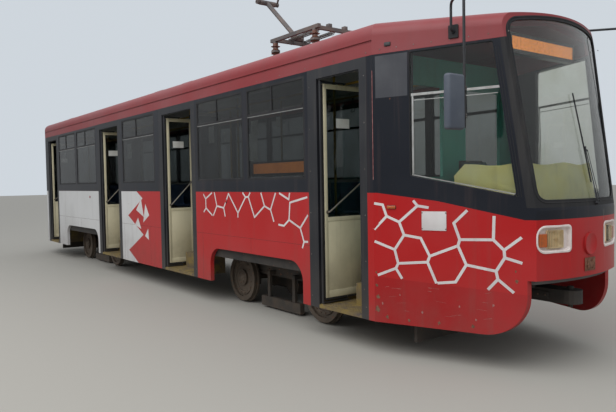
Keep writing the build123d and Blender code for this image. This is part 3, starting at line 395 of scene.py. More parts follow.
body_paint = finish_of(
    "body_paint", paint=livery, clouds=0.9, fade=0.55, dirt=(0.14, 0.085, 0.07), dirt_z=(0.30, 1.15),
    dirt_amount=0.42, streaks=0.10, chip_scale=26.0, chip_amount=0.12, rough=0.30, rough_dirty=0.7,
    grain_scale=60.0, waves=1.5, bump=0.12, depth=0.004, coat=0.09, specular=0.22,
)
print("body paint made")

# %% [markdown]
# The other finishes differ in tone and wear. Enamel chips, rubber greys, castings rust in clouds,
# and whatever hands touch or rain runs over gets streaks and dust of its own.

# %% Finishes of the body and the doors
roof_paint = finish_of(
    "roof_paint", (0.245, 0.030, 0.034), (0.25, 0.085, 0.09), clouds=0.7, fade=0.7, dirt=(0.09, 0.07, 0.065),
    dirt_z=(crown_z + 0.25, crown_z - 0.12), dirt_amount=0.55, streaks=0.08, chip_scale=20.0, chip_amount=0.1,
    rough=0.42, grain_scale=60.0, waves=1.5, bump=0.12, depth=0.004, coat=0.05, specular=0.30,
)
black_enamel = finish_of(
    "black_enamel", (0.010, 0.011, 0.015), (0.030, 0.030, 0.034), dirt=(0.12, 0.10, 0.08), dirt_z=(0.3, 1.1),
    dirt_amount=0.35, chip_scale=30.0, chip_amount=0.15, bare=(0.16, 0.10, 0.07), rough=0.42,
)
rubber = finish_of(
    "black_rubber", (0.014, 0.014, 0.016), (0.035, 0.035, 0.037), dirt=(0.09, 0.08, 0.07), dirt_z=(0.3, 1.9),
    dirt_amount=0.25, streaks=0.18, rough=0.62, grain_scale=260.0, bump=0.15, specular=0.35,
)
cream_enamel = finish_of(
    "cream_enamel", (0.68, 0.62, 0.43), (0.55, 0.50, 0.34), clouds=3.0, fade=0.6, dirt=(0.10, 0.085, 0.05),
    dirt_z=(0.42, 1.25), dirt_amount=0.55, streaks=0.16, chip_scale=22.0, chip_amount=0.12, bump=0.10,
    waves=1.2, depth=0.003,
)
step_paint = finish_of(
    "worn_yellow_steps", (0.26, 0.18, 0.04), (0.15, 0.11, 0.06), clouds=6.0, fade=0.9,
    dirt=(0.07, 0.055, 0.045),
    dirt_z=(0.3, 1.2), dirt_amount=0.75, chip_scale=14.0, chip_amount=0.5, bare=(0.12, 0.09, 0.07), rough=0.6,
)
white_film = finish_of(
    "white_film", (0.66, 0.64, 0.63), (0.55, 0.50, 0.50), clouds=3.0, fade=0.7, dirt=(0.30, 0.16, 0.14),
    dirt_z=(0.3, 1.0), dirt_amount=0.45, streaks=0.15,
)
grey_gloss = finish_of(
    "grey_gloss", (0.055, 0.057, 0.066), (0.085, 0.087, 0.096), clouds=1.8, fade=0.8, rough=0.16,
    rough_dirty=0.5,
    dirt=(0.12, 0.115, 0.11), dirt_z=(1.7, 2.6), dirt_amount=0.3, bump=0.03,
)
seam_dark = finish_of(
    "panel_joint", (0.055, 0.012, 0.012), (0.11, 0.03, 0.028), clouds=6.0, fade=0.9, rough=0.8
)
rust_spot = finish_of(
    "rust_spot", (0.13, 0.050, 0.026), (0.24, 0.11, 0.065), clouds=40.0, fade=0.9, rough=0.8, bump=0.6,
    grain_scale=300.0, depth=0.001,
)
# The scuff finish also paints a highlight up the corner where the right side turns into the cab.
scuff_and_highlight = finish_of("scuff_and_highlight", (0.30, 0.085, 0.08), (0.42, 0.20, 0.18), clouds=30.0, fade=0.9, rough=0.7)
lamp_white = finish_of(
    "lamp_bezel", (0.82, 0.74, 0.71), (0.66, 0.57, 0.54), clouds=9.0, fade=0.6, dirt_amount=0.25,
    dirt_z=(0.9, 1.4), rough=0.32, chip_scale=40.0, chip_amount=0.1,
)
warm_reflector = finish_of(
    "warm_reflector", (0.97, 0.80, 0.54), (0.88, 0.64, 0.38), clouds=26.0, fade=0.7, rough=0.30,
    rough_dirty=0.5, metallic=0.35, dirt_amount=0.1,
)
mirror_housing = finish_of(
    "mirror_housing", (0.065, 0.078, 0.105), (0.10, 0.115, 0.14), clouds=6.0, fade=0.6, streaks=0.2, rough=0.5,
    grain_scale=420.0, bump=0.2,
)
mirror_face = finish_of(
    "mirror_face", (0.70, 0.72, 0.74), (0.56, 0.57, 0.57), clouds=6.0, fade=0.4, rough=0.03, rough_dirty=0.3,
    metallic=1.0, bump=0.0, dirt_amount=0.1,
)
bare_metal = finish_of(
    "bare_aluminium", (0.55, 0.55, 0.54), (0.36, 0.35, 0.33), clouds=12.0, fade=0.8, streaks=0.2, rough=0.35,
    metallic=0.85, grain_scale=300.0, bump=0.12,
)
screw_metal = finish_of(
    "screw_zinc", (0.22, 0.21, 0.20), (0.14, 0.10, 0.07), clouds=20.0, fade=0.9, rough=0.45, metallic=0.7
)
print("body finishes", len(bpy.data.materials))

# %% Finishes of the running gear, the roof gear and the boxes
steel_dark = finish_of(
    "underframe_steel", (0.020, 0.019, 0.018), (0.045, 0.037, 0.031), clouds=5.0, fade=0.9,
    dirt=(0.075, 0.058, 0.045), dirt_z=(0.0, 0.9), dirt_amount=0.7, chip_scale=18.0, chip_amount=0.3,
    bare=(0.13, 0.055, 0.03), rough=0.7, bump=0.3, grain_scale=110.0,
)
bogie_steel = finish_of(
    "bogie_casting", (0.030, 0.026, 0.023), (0.065, 0.047, 0.034), clouds=7.0, fade=0.9,
    dirt=(0.095, 0.075, 0.056), dirt_z=(0.0, 0.8), dirt_amount=0.6, chip_scale=20.0, chip_amount=0.4,
    bare=(0.15, 0.06, 0.03), rough=0.75, bump=0.5, grain_scale=70.0,
)
wheel_steel = finish_of(
    "wheel_steel", (0.075, 0.058, 0.045), (0.125, 0.094, 0.07), clouds=9.0, fade=0.9,
    dirt=(0.145, 0.115, 0.085), dirt_z=(0.0, 0.8), dirt_amount=0.5, chip_scale=24.0, chip_amount=0.35,
    bare=(0.20, 0.08, 0.035), rough=0.62, bump=0.35, grain_scale=80.0, metallic=0.35,
)
bolt_steel = finish_of(
    "bolt_steel", (0.12, 0.09, 0.07), (0.20, 0.12, 0.075), clouds=30.0, fade=0.9, rough=0.55, metallic=0.5,
    dirt=(0.15, 0.11, 0.08), dirt_amount=0.5,
)
spring_steel = finish_of(
    "spring_steel", (0.055, 0.05, 0.048), (0.13, 0.10, 0.08), clouds=14.0, fade=0.8, chip_scale=30.0,
    chip_amount=0.3, rough=0.5, metallic=0.3,
)
box_enamel = finish_of(
    "equipment_enamel", (0.20, 0.21, 0.22), (0.30, 0.29, 0.27), clouds=3.0, fade=0.8, dirt=(0.10, 0.08, 0.06),
    dirt_z=(0.2, 0.9), dirt_amount=0.6, chip_scale=24.0, chip_amount=0.25, rough=0.5,
)
roof_box_enamel = finish_of(
    "roof_box_enamel", (0.26, 0.27, 0.28), (0.36, 0.35, 0.33), clouds=3.0, fade=0.8, streaks=0.3,
    dirt_z=(3.5, 3.75), dirt_amount=0.5, chip_scale=24.0, chip_amount=0.2, rough=0.5,
)
arm_enamel = finish_of(
    "pantograph_enamel", (0.11, 0.10, 0.10), (0.20, 0.15, 0.13), clouds=6.0, fade=0.8, streaks=0.2,
    chip_scale=30.0, chip_amount=0.35, bare=(0.20, 0.09, 0.05), rough=0.5, metallic=0.2,
)
strip_metal = finish_of(
    "contact_strip", (0.16, 0.16, 0.16), (0.28, 0.26, 0.24), clouds=14.0, fade=0.8, rough=0.42, metallic=0.7,
    grain_scale=350.0,
)
ceramic = finish_of(
    "brown_ceramic", (0.13, 0.045, 0.025), (0.18, 0.075, 0.045), clouds=9.0, fade=0.6, streaks=0.2, rough=0.18,
    coat=0.5,
)
print("gear finishes", len(bpy.data.materials))

# %% Finishes of the inside
floor_cover = finish_of(
    "floor_cover", (0.10, 0.10, 0.105), (0.16, 0.155, 0.15), clouds=4.0, fade=0.8, dirt_amount=0.5,
    dirt_z=(0.8, 1.0), rough=0.7, grain_scale=240.0, bump=0.25,
)
lining = finish_of(
    "pale_lining", (0.52, 0.52, 0.48), (0.44, 0.43, 0.38), clouds=1.2, fade=0.6, dirt_z=(0.8, 1.6),
    dirt_amount=0.3, rough=0.5, grain_scale=300.0, bump=0.08,
)
seat_shell = finish_of(
    "seat_shell", (0.10, 0.16, 0.30), (0.16, 0.22, 0.34), clouds=3.0, fade=0.6, dirt_amount=0.2, rough=0.38,
    grain_scale=420.0, bump=0.15,
)
seat_cloth = finish_of(
    "seat_cloth", (0.045, 0.075, 0.085), (0.09, 0.12, 0.125), clouds=9.0, fade=0.8, dirt_amount=0.2, rough=0.9,
    rough_dirty=0.95, grain_scale=650.0, bump=0.6, depth=0.001,
)
rail_enamel = finish_of(
    "handrail_enamel", (0.56, 0.36, 0.04), (0.44, 0.31, 0.08), clouds=8.0, fade=0.6, chip_scale=40.0,
    chip_amount=0.1, rough=0.35,
)
dull_tube = finish_of(
    "dull_tube", (0.20, 0.18, 0.15), (0.13, 0.11, 0.09), clouds=16.0, fade=0.7, dirt_amount=0.3, rough=0.38,
    metallic=0.6, grain_scale=300.0,
)
dash_skin = finish_of(
    "console_skin", (0.035, 0.036, 0.04), (0.07, 0.07, 0.07), clouds=4.0, dirt_amount=0.2, rough=0.55,
    grain_scale=500.0, bump=0.25,
)
sign_black = finish_of(
    "sign_housing", (0.02, 0.02, 0.022), (0.04, 0.04, 0.042), rough=0.35, grain_scale=400.0, bump=0.1
)
teal_laminate = finish_of(
    "teal_laminate", (0.055, 0.30, 0.25), (0.09, 0.30, 0.25), clouds=2.0, fade=0.6, dirt_z=(0.8, 1.5),
    rough=0.5, grain_scale=420.0, bump=0.1,
)
pale_card = finish_of(
    "pale_card", (0.97, 0.92, 0.42), (0.95, 0.94, 0.62), clouds=3.0, fade=0.9, rough=0.6, grain_scale=300.0,
    bump=0.15, dirt_amount=0.1,
)
paper = finish_of("blank_paper", (0.70, 0.70, 0.66), (0.60, 0.59, 0.52), clouds=8.0, rough=0.8)
diffuser = finish_of(
    "lamp_diffuser", (0.72, 0.71, 0.66), (0.60, 0.57, 0.47), clouds=4.0, fade=0.6, rough=0.45,
    grain_scale=220.0, bump=0.3,
)
print("finishes", len(bpy.data.materials))

# %% [markdown]
# Glass keeps a plain metallic value and a plain transmission. What changes over a pane is its
# tint, which is a little uneven, and the dust that lies in clouds and dulls it. A lamp's lens is
# moulded with fine ribs and, in the red and amber ones, has some light of its own.

# %% Glass and lamp lenses
def glass_of(name, colour, dusty, rough=0.02, dust_scale=2.5):
    """Glass with uneven dust."""
    material, tree, shader, place = new_material(name)
    mask = ramp(tree, noise(tree, place, dust_scale, 6.0), 0.4, 0.8)
    feed(
        tree, shader, Base_Color=mixed(tree, mask, tone(*colour), tone(*dusty)), Transmission_Weight=1.0,
        Roughness=calc(tree, "MULTIPLY_ADD", mask, 0.042, rough), IOR=1.45,
    )
    return material


def lens_of(name, colour, glow, dusty, rib_scale=30.0):
    """A moulded lens: coloured, with some light of its own and fine ribs."""
    material, tree, shader, place = new_material(name)
    spots = noise(tree, place, 40.0, 4.0)
    base = mixed(tree, ramp(tree, spots, 0.4, 0.75), tone(*colour), tone(*dusty))
    bands = {"wave_type": "BANDS", "bands_direction": "Y"}
    ribs = add(tree, "ShaderNodeTexWave", bands, Vector=place, Scale=rib_scale, Distortion=0.0).outputs["Fac"]
    feed(
        tree, shader, Base_Color=base, Coat_Weight=0.4,
        Roughness=calc(tree, "MULTIPLY_ADD", spots, 0.12, 0.10),
        Normal=add(tree, "ShaderNodeBump", Height=ribs, Strength=0.35, Distance=0.002).outputs["Normal"],
    )
    if glow:
        feed(tree, shader, Emission_Color=base, Emission_Strength=glow)
    return material


clear_glass = glass_of("clear_glass", (0.95, 0.97, 0.92), (0.86, 0.88, 0.80))
tinted_glass = glass_of("tinted_glass", (0.24, 0.26, 0.26), (0.20, 0.21, 0.20))
door_glass = glass_of("door_glass", (0.30, 0.33, 0.33), (0.22, 0.24, 0.23))
lamp_glass = glass_of("lamp_glass", (0.98, 0.94, 0.84), (0.88, 0.78, 0.60), rough=0.06, dust_scale=18.0)
amber_lens = lens_of("amber_lens", (0.42, 0.085, 0.008), 0.06, (0.28, 0.07, 0.015))
clear_lens = lens_of("clear_lens", (0.62, 0.60, 0.52), 0.0, (0.45, 0.40, 0.32))
red_lens = lens_of("red_lens", (0.45, 0.015, 0.012), 0.08, (0.25, 0.02, 0.015))
sign_glow = lens_of("sign_face", (0.75, 0.24, 0.03), 0.5, (0.55, 0.16, 0.02), rib_scale=12.0)
print("glass and lenses made")

# %% [markdown]
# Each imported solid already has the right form, so it only needs its finish. A node's material
# slots are filled by assignment; its mesh and its place stay as they are.

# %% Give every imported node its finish
dressing = (
    (body_paint, "right_wall left_wall cab_sides front_mask rear_wall mask_fittings"),
    (roof_paint, "roof"), (rubber, "windshield_surround window_frames"), (black_enamel, "door_frames wiper"),
    (clear_glass, "cab_side_glass windshield"), (tinted_glass, "rear_glass saloon_glass"),
    (steel_dark, "underframe couplers life_guards"), (box_enamel, "underfloor_boxes"),
    (floor_cover, "floor"), (lining, "ceiling"), (step_paint, "step_wells"), (seat_shell, "seats driver_seat"),
    (rail_enamel, "handrails"), (teal_laminate, "cab_partition"), (dash_skin, "dashboard"),
    (sign_black, "destination_signs"), (lamp_white, "headlamps"), (red_lens, "tail_lamps"),
    (amber_lens, "side_lamps"), (mirror_housing, "mirrors"), (roof_box_enamel, "roof_boxes"),
    (arm_enamel, "pantograph_base pantograph_lower_arm pantograph_upper_arm"),
    (strip_metal, "pantograph_head"),
)
finishes = {name: finish for finish, names in dressing for name in names.split()}
for name, obj in nodes.items():
    if name.endswith("_axle"):
        finishes[name] = wheel_steel
    elif name.startswith(("front_bogie", "rear_bogie", "front_rail", "rear_rail")):
        finishes[name] = bogie_steel
    elif name.endswith("_post"):
        finishes[name] = black_enamel
    for slot in obj.material_slots:
        slot.material = finishes.get(name, cream_enamel)
print("dressed", len(nodes), "nodes")

# %% [markdown]
# New pieces are made from a few plain forms: blocks with rounded edges, bars, tubes and stacks of
# outlines. Each helper adds its form to one mesh, and the mesh becomes one object that rides on a
# body. The objects stay at the origin with their place in the mesh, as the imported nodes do.

# %% Helpers for meshes
def add_block(mesh, low, high, edge=0.0, segments=2):
    """A block between two corners, with its edges rounded."""
    size = Vector(high) - Vector(low)
    place = Matrix.Translation((Vector(high) + Vector(low)) / 2) @ Matrix.Diagonal((*size, 1.0))
    made = bmesh.ops.create_cube(mesh, size=1.0, matrix=place)["verts"]
    if edge:
        edges = list({e for v in made for e in v.link_edges})
        bmesh.ops.bevel(mesh, geom=edges, offset=edge, segments=segments, affect="EDGES", profile=0.5)


def add_side_block(mesh, side, low, high, edge=0.0, segments=2):
    """A block given for the left side, on that side or mirrored to the right."""
    near, far = sorted((side * low[1], side * high[1]))
    add_block(mesh, (low[0], near, low[2]), (high[0], far, high[2]), edge, segments)


def add_bar(mesh, start, end, radius, sides=16, end_radius=None):
    """A round bar, or a taper, between two points."""
    start, end = Vector(start), Vector(end)
    way = end - start
    place = Matrix.Translation((start + end) / 2) @ way.to_track_quat("Z", "Y").to_matrix().to_4x4()
    far = radius if end_radius is None else end_radius
    bmesh.ops.create_cone(
        mesh, cap_ends=True, segments=sides, radius1=radius, radius2=far, depth=way.length, matrix=place
    )


def join_rings(mesh, rings, first_cap=False, last_cap=False):
    """Faces between each ring of vertices and the next, and over the ends."""
    for ring, following in zip(rings, rings[1:]):
        for i in range(len(ring)):
            j = (i + 1) % len(ring)
            mesh.faces.new((ring[i], ring[j], following[j], following[i]))
    if first_cap:
        mesh.faces.new(list(reversed(rings[0])))
    if last_cap:
        mesh.faces.new(rings[-1])


def join_grid(mesh, grid):
    """Faces between each line of vertices and the next."""
    made = []
    for line, following in zip(grid, grid[1:]):
        for i in range(len(line) - 1):
            made.append(mesh.faces.new((line[i], line[i + 1], following[i + 1], following[i])))
    return made


def arc_at(corner, first, second, cuts, steps):
    """The arc that takes a corner's place, cut back by two lengths along two ways."""
    start, end = corner + first * cuts[0], corner + second * cuts[1]
    shares = [step / steps for step in range(steps + 1)]
    return [start * (1 - t) ** 2 + corner * 2 * t * (1 - t) + end * t**2 for t in shares]


def rounded_path(points, radius, steps=6):
    """The points of a path whose corners are turned into arcs."""
    points = [Vector(p) for p in points]
    path = [points[0]]
    for before, corner, after in zip(points, points[1:], points[2:]):
        first, second = before - corner, after - corner
        angle = first.angle(second)
        if angle > math.pi - 0.01:
            path.append(corner)
        else:
            cut = min(radius / math.tan(angle / 2), first.length * 0.49, second.length * 0.49)
            path += arc_at(corner, first.normalized(), second.normalized(), (cut, cut), steps)
    return path + [points[-1]]


def add_tube(mesh, points, radius, sides=10, flat=None):
    """A tube swept along points; flat=(a, b) sweeps an oval of those half sizes instead."""
    across, thick = flat or (radius, radius)
    normal, rings = None, []
    for index, point in enumerate(points):
        along = (points[min(index + 1, len(points) - 1)] - points[max(index - 1, 0)]).normalized()
        if normal is None:
            other = Vector((0, 0, 1)) if abs(along.z) < 0.9 else Vector((1, 0, 0))
            normal = along.cross(other).normalized()
        normal = (normal - along * normal.dot(along)).normalized()
        beside = along.cross(normal)
        turns = [2 * math.pi * i / sides for i in range(sides)]
        rings.append([
            mesh.verts.new(point + normal * across * math.cos(a) + beside * thick * math.sin(a)) for a in turns
        ])
    join_rings(mesh, rings, True, True)


def rounded_outline(half_a, half_b, radii, steps=6):
    """Points of a rectangle whose four corners have their own radii, from +a+b round to +a-b."""
    points = []
    corners = zip(((1, 1), (-1, 1), (-1, -1), (1, -1)), radii, (0, 90, 180, 270))
    for (sign_a, sign_b), radius, start in corners:
        centre = (sign_a * (half_a - radius), sign_b * (half_b - radius))
        for step in range(steps + 1):
            angle = math.radians(start + 90 * step / steps)
            points.append((centre[0] + radius * math.cos(angle), centre[1] + radius * math.sin(angle)))
    return points


def add_stack(mesh, layers, radii, middle=(0.0, 0.0), first_cap=False, steps=6):
    """Joins rounded outlines (depth, half width, half height) into one skin, closed at its end."""
    rings = []
    for depth, half_a, half_b, *own in layers:
        outline = rounded_outline(half_a, half_b, own[0] if own else radii, steps)
        rings.append([mesh.verts.new((depth, a + middle[0], b + middle[1])) for a, b in outline])
    join_rings(mesh, rings, first_cap, True)


def add_part(mesh, part, place):
    """Adds a mesh to another one, at a place."""
    bmesh.ops.transform(part, matrix=place, verts=part.verts)
    data = bpy.data.meshes.new("part")
    part.to_mesh(data)
    part.free()
    mesh.from_mesh(data)
    bpy.data.meshes.remove(data)


def facing_way(out, beside):
    """The turn that sends X outward and Y beside it, with Z up."""
    return Matrix((out, beside, (0, 0, 1))).transposed().to_4x4()


def kept(name, data, body, smooth, replaces=()):
    """Makes one object of finished mesh data and rides it on a body."""
    if smooth:
        data.shade_smooth()
        data.set_sharp_from_angle(angle=math.radians(35))
    obj = bpy.data.objects.new(name, data)
    scene.collection.objects.link(obj)
    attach(obj, body)
    if replaces:
        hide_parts(*replaces)
    return obj


def mesh_data(name, mesh):
    """Turns a mesh under construction into mesh data, with its faces outwards."""
    bmesh.ops.recalc_face_normals(mesh, faces=mesh.faces)
    data = bpy.data.meshes.new(name)
    mesh.to_mesh(data)
    mesh.free()
    return data


def piece(name, mesh, material, body="car_body", smooth=True, replaces=()):
    """Makes one piece of a mesh, with its finish."""
    data = mesh_data(name, mesh)
    data.materials.append(material)
    return kept(name, data, body, smooth, replaces)


def new_meshes(count):
    return [bmesh.new() for _ in range(count)]


def result_of(obj):
    """The mesh that an object's modifiers make."""
    return bpy.data.meshes.new_from_object(obj.evaluated_get(bpy.context.evaluated_depsgraph_get()))


print("mesh helpers ready")

# %% [markdown]
# Whatever repeats is made by Geometry Nodes: one tree for screws, bolts and studs, one for a bead
# that follows outlines, one for coil springs and one for slats. Each tree has named inputs, ends in
# real geometry with its finish set, and the result is kept as a plain mesh.

# %% Helpers for geometry trees
def new_growth(name, **sizes):
    """A Geometry Nodes tree with a mesh and its sizes going in and a mesh coming out."""
    inputs = {"Geometry": "Geometry", **sizes, "Material": "Material"}
    return new_tree(name, "GeometryNodeTree", inputs, {"Geometry": "Geometry"})


def end_growth(tree, given, out, geometry):
    """Ends a tree: real geometry instead of instances, with the material put on."""
    real = add(tree, "GeometryNodeRealizeInstances", Geometry=geometry).outputs["Geometry"]
    painted = add(tree, "GeometryNodeSetMaterial", Geometry=real, Material=given["Material"])
    feed(tree, out, Geometry=painted.outputs["Geometry"])


def end_on_points(tree, given, out, form):
    """Ends a tree with a form set down on each point, standing along its facing."""
    facing = add(tree, "GeometryNodeInputNamedAttribute", {"data_type": "FLOAT_VECTOR"}, Name="facing")
    way = facing.outputs["Attribute"]
    turn = add(tree, "FunctionNodeAlignRotationToVector", {"axis": "Z"}, Vector=way).outputs["Rotation"]
    spread = add(tree, "GeometryNodeInstanceOnPoints", Points=given["Geometry"], Instance=form, Rotation=turn)
    end_growth(tree, given, out, spread.outputs["Instances"])


def grown(name, data, tree, slot, body="car_body", **values):
    """Runs a tree on a mesh and keeps the result as one plain piece."""
    source = bpy.data.objects.new(name + "_guide", data)
    scene.collection.objects.link(source)
    modifier = source.modifiers.new("growth", "NODES")
    modifier.node_group = tree
    for item in tree.interface.items_tree:
        if item.in_out == "INPUT" and item.name in values:
            modifier[item.identifier] = values[item.name]
    made = result_of(source)
    made.name = name
    source.modifiers.clear()
    bpy.data.objects.remove(source)
    return kept(name, made, body, True)


def point_cloud(places):
    """A mesh of loose points, each with the way it faces."""
    data = bpy.data.meshes.new("places")
    data.from_pydata([tuple(place) for place, _ in places], [], [])
    facing = data.attributes.new("facing", "FLOAT_VECTOR", "POINT")
    for index, (_, way) in enumerate(places):
        facing.data[index].vector = way
    return data


# %% Tree: heads of screws, bolts or studs at points
heads, given, out = new_growth("screw_heads", Radius="Float", Height="Float", Sides="Int")
head_top = calc(heads, "MULTIPLY", given["Radius"], 0.6)
head_form = add(
    heads, "GeometryNodeMeshCone", Vertices=given["Sides"], Radius_Bottom=given["Radius"], Radius_Top=head_top,
    Depth=given["Height"],
)
end_on_points(heads, given, out, head_form.outputs["Mesh"])


def screwed(name, places, radius, height, sides, finish, slot, body="car_body"):
    """Heads at places (point, way)."""
    return grown(
        name, point_cloud(places), heads, slot, body, Radius=radius, Height=height, Sides=sides,
        Material=finish,
    )


print("tree", heads.name)

# %% Tree: a bead of rubber along outlines
bead, given, out = new_growth("outline_bead", Radius="Float", Corner="Float", Sides="Int")
bead_curve = add(bead, "GeometryNodeMeshToCurve", Mesh=given["Geometry"]).outputs["Curve"]
bead_corner = add(
    bead, "GeometryNodeFilletCurve", {"mode": "POLY"}, Curve=bead_curve, Radius=given["Corner"], Count=5,
    Limit_Radius=True,
)
bead_round = add(bead, "GeometryNodeCurvePrimitiveCircle", Resolution=given["Sides"], Radius=given["Radius"])
bead_sweep = add(
    bead, "GeometryNodeCurveToMesh", Curve=bead_corner.outputs["Curve"],
    Profile_Curve=bead_round.outputs["Curve"],
)
end_growth(bead, given, out, bead_sweep.outputs["Mesh"])


def beaded(name, loops, radius, corner, sides=8, body="car_body"):
    """A rubber bead along closed outlines, each a list of points."""
    points, edges = [], []
    for loop in loops:
        first = len(points)
        points += [tuple(p) for p in loop]
        edges += [(first + i, first + (i + 1) % len(loop)) for i in range(len(loop))]
    data = bpy.data.meshes.new("outlines")
    data.from_pydata(points, edges, [])
    values = {"Radius": radius, "Corner": corner, "Sides": sides, "Material": rubber}
    return grown(name, data, bead, "black_rubber", body, **values)


print("tree", bead.name)

# %% Tree: a coil spring on each point
coil, given, out = new_growth("coil_springs", Radius="Float", Height="Float", Turns="Float", Wire="Float")
coil_line = add(
    coil, "GeometryNodeCurveSpiral", Resolution=20, Rotations=given["Turns"], Start_Radius=given["Radius"],
    End_Radius=given["Radius"], Height=given["Height"],
)
coil_wire = add(coil, "GeometryNodeCurvePrimitiveCircle", Resolution=8, Radius=given["Wire"])
coil_sweep = add(
    coil, "GeometryNodeCurveToMesh", Curve=coil_line.outputs["Curve"],
    Profile_Curve=coil_wire.outputs["Curve"], Fill_Caps=True,
)
end_on_points(coil, given, out, coil_sweep.outputs["Mesh"])
print("tree", coil.name)

# %% Tree: level slats on points
slats, given, out = new_growth("slats", Size="Vector")
slat_form = add(slats, "GeometryNodeMeshCube", Size=given["Size"]).outputs["Mesh"]
slat_spread = add(slats, "GeometryNodeInstanceOnPoints", Points=given["Geometry"], Instance=slat_form)
end_growth(slats, given, out, slat_spread.outputs["Instances"])
print("tree", slats.name)

# %% [markdown]
# The saloon windows sit in black rubber. A round bead runs along the inner edge of each opening,
# both for the tall pane and for the sliding pair above the transom. The transom itself is a bare
# metal channel, dull and scratched, and the sliders meet in a thin upright bar.

# %% Window beads, transom channels and slider bars
window_low_z, window_high_z = rail + 1.80, rail + 3.00
rubber_width = 0.028
transom_z, transom_top_z = rail + 2.64, rail + 2.662
pane_y = half_width - 0.010
pane_face_y, channel_y = pane_y + 0.0005, half_width - 0.001
slider_share, slider_half = 0.46, 0.014
right_windows = [(-5.35, -3.99), (-3.895, -2.535), (-0.98, 0.56), (2.165, 3.525), (3.62, 4.915)]
left_count, left_rear, left_front, left_gap = 9, -6.48, 5.96, 0.10
left_length = (left_front - left_rear - left_gap * (left_count - 1)) / left_count
left_starts = [left_rear + i * (left_length + left_gap) for i in range(left_count)]
left_windows = [(start, start + left_length) for start in left_starts]
window_loops = []
channels, slider_bars = new_meshes(2)
for side, windows in ((-1, right_windows), (1, left_windows)):
    lip_y = channel_y - (0.004 if side > 0 else 0.0)
    y = side * (pane_y + 0.001)
    for rear, front in windows:
        low_x, high_x = rear + rubber_width, front - rubber_width
        top_z = window_high_z - rubber_width
        for low_z, high_z in ((window_low_z + rubber_width, transom_z), (transom_top_z, top_z)):
            corners = ((low_x, low_z), (high_x, low_z), (high_x, high_z), (low_x, high_z))
            window_loops.append([(x, y, z) for x, z in corners])
        for low_z, high_z, outer_y, edge in (
            (transom_z + 0.001, transom_top_z - 0.002, channel_y, 0.0015),
            (transom_z - 0.014, transom_z - 0.005, lip_y, 0.001),
        ):
            add_side_block(channels, side, (low_x, pane_face_y, low_z), (high_x, outer_y, high_z), edge, 1)
        middle = low_x + slider_share * (high_x - low_x)
        add_side_block(
            slider_bars, side, (middle - slider_half, pane_face_y, transom_top_z),
            (middle + slider_half, channel_y, top_z), 0.002, 1,
        )
beaded("window_bead", window_loops, 0.0062, 0.045)
piece("transom_channels", channels, bare_metal)
piece("slider_bars", slider_bars, rubber)
print("window outlines", len(window_loops))

# %% [markdown]
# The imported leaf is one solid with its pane, so it can only have one finish. It is built again here
# in its real parts: cream stiles and rails, a sunk lower panel, dark glass in a rubber bead, rubber
# finger guards along both edges, and the slanting grab tube with its end plates. Each leaf is
# placed from the same door table as the opening it closes.

# %% Places of the door leaves
post_y, post_arm, post_gap, edge_gap = -1.215, 0.022, 0.024, 0.022
leaf_places = {}
for door, (*_, jambs) in doors.items():
    clear = openings[door]
    slack = 0.008 if len(jambs) == 1 else 0.004
    width = (clear[1] - clear[0]) / len(jambs) - post_gap - edge_gap - slack
    for jamb in jambs:
        label = door if len(jambs) == 1 else f"{door}_{jamb}"
        leaf_x = clear[0] + post_gap if jamb == "rear" else clear[1] - post_gap
        leaf_places[label] = (leaf_x, post_y + width / 2 + post_arm, width, 1 if jamb == "rear" else -1)
print("leaves", list(leaf_places))

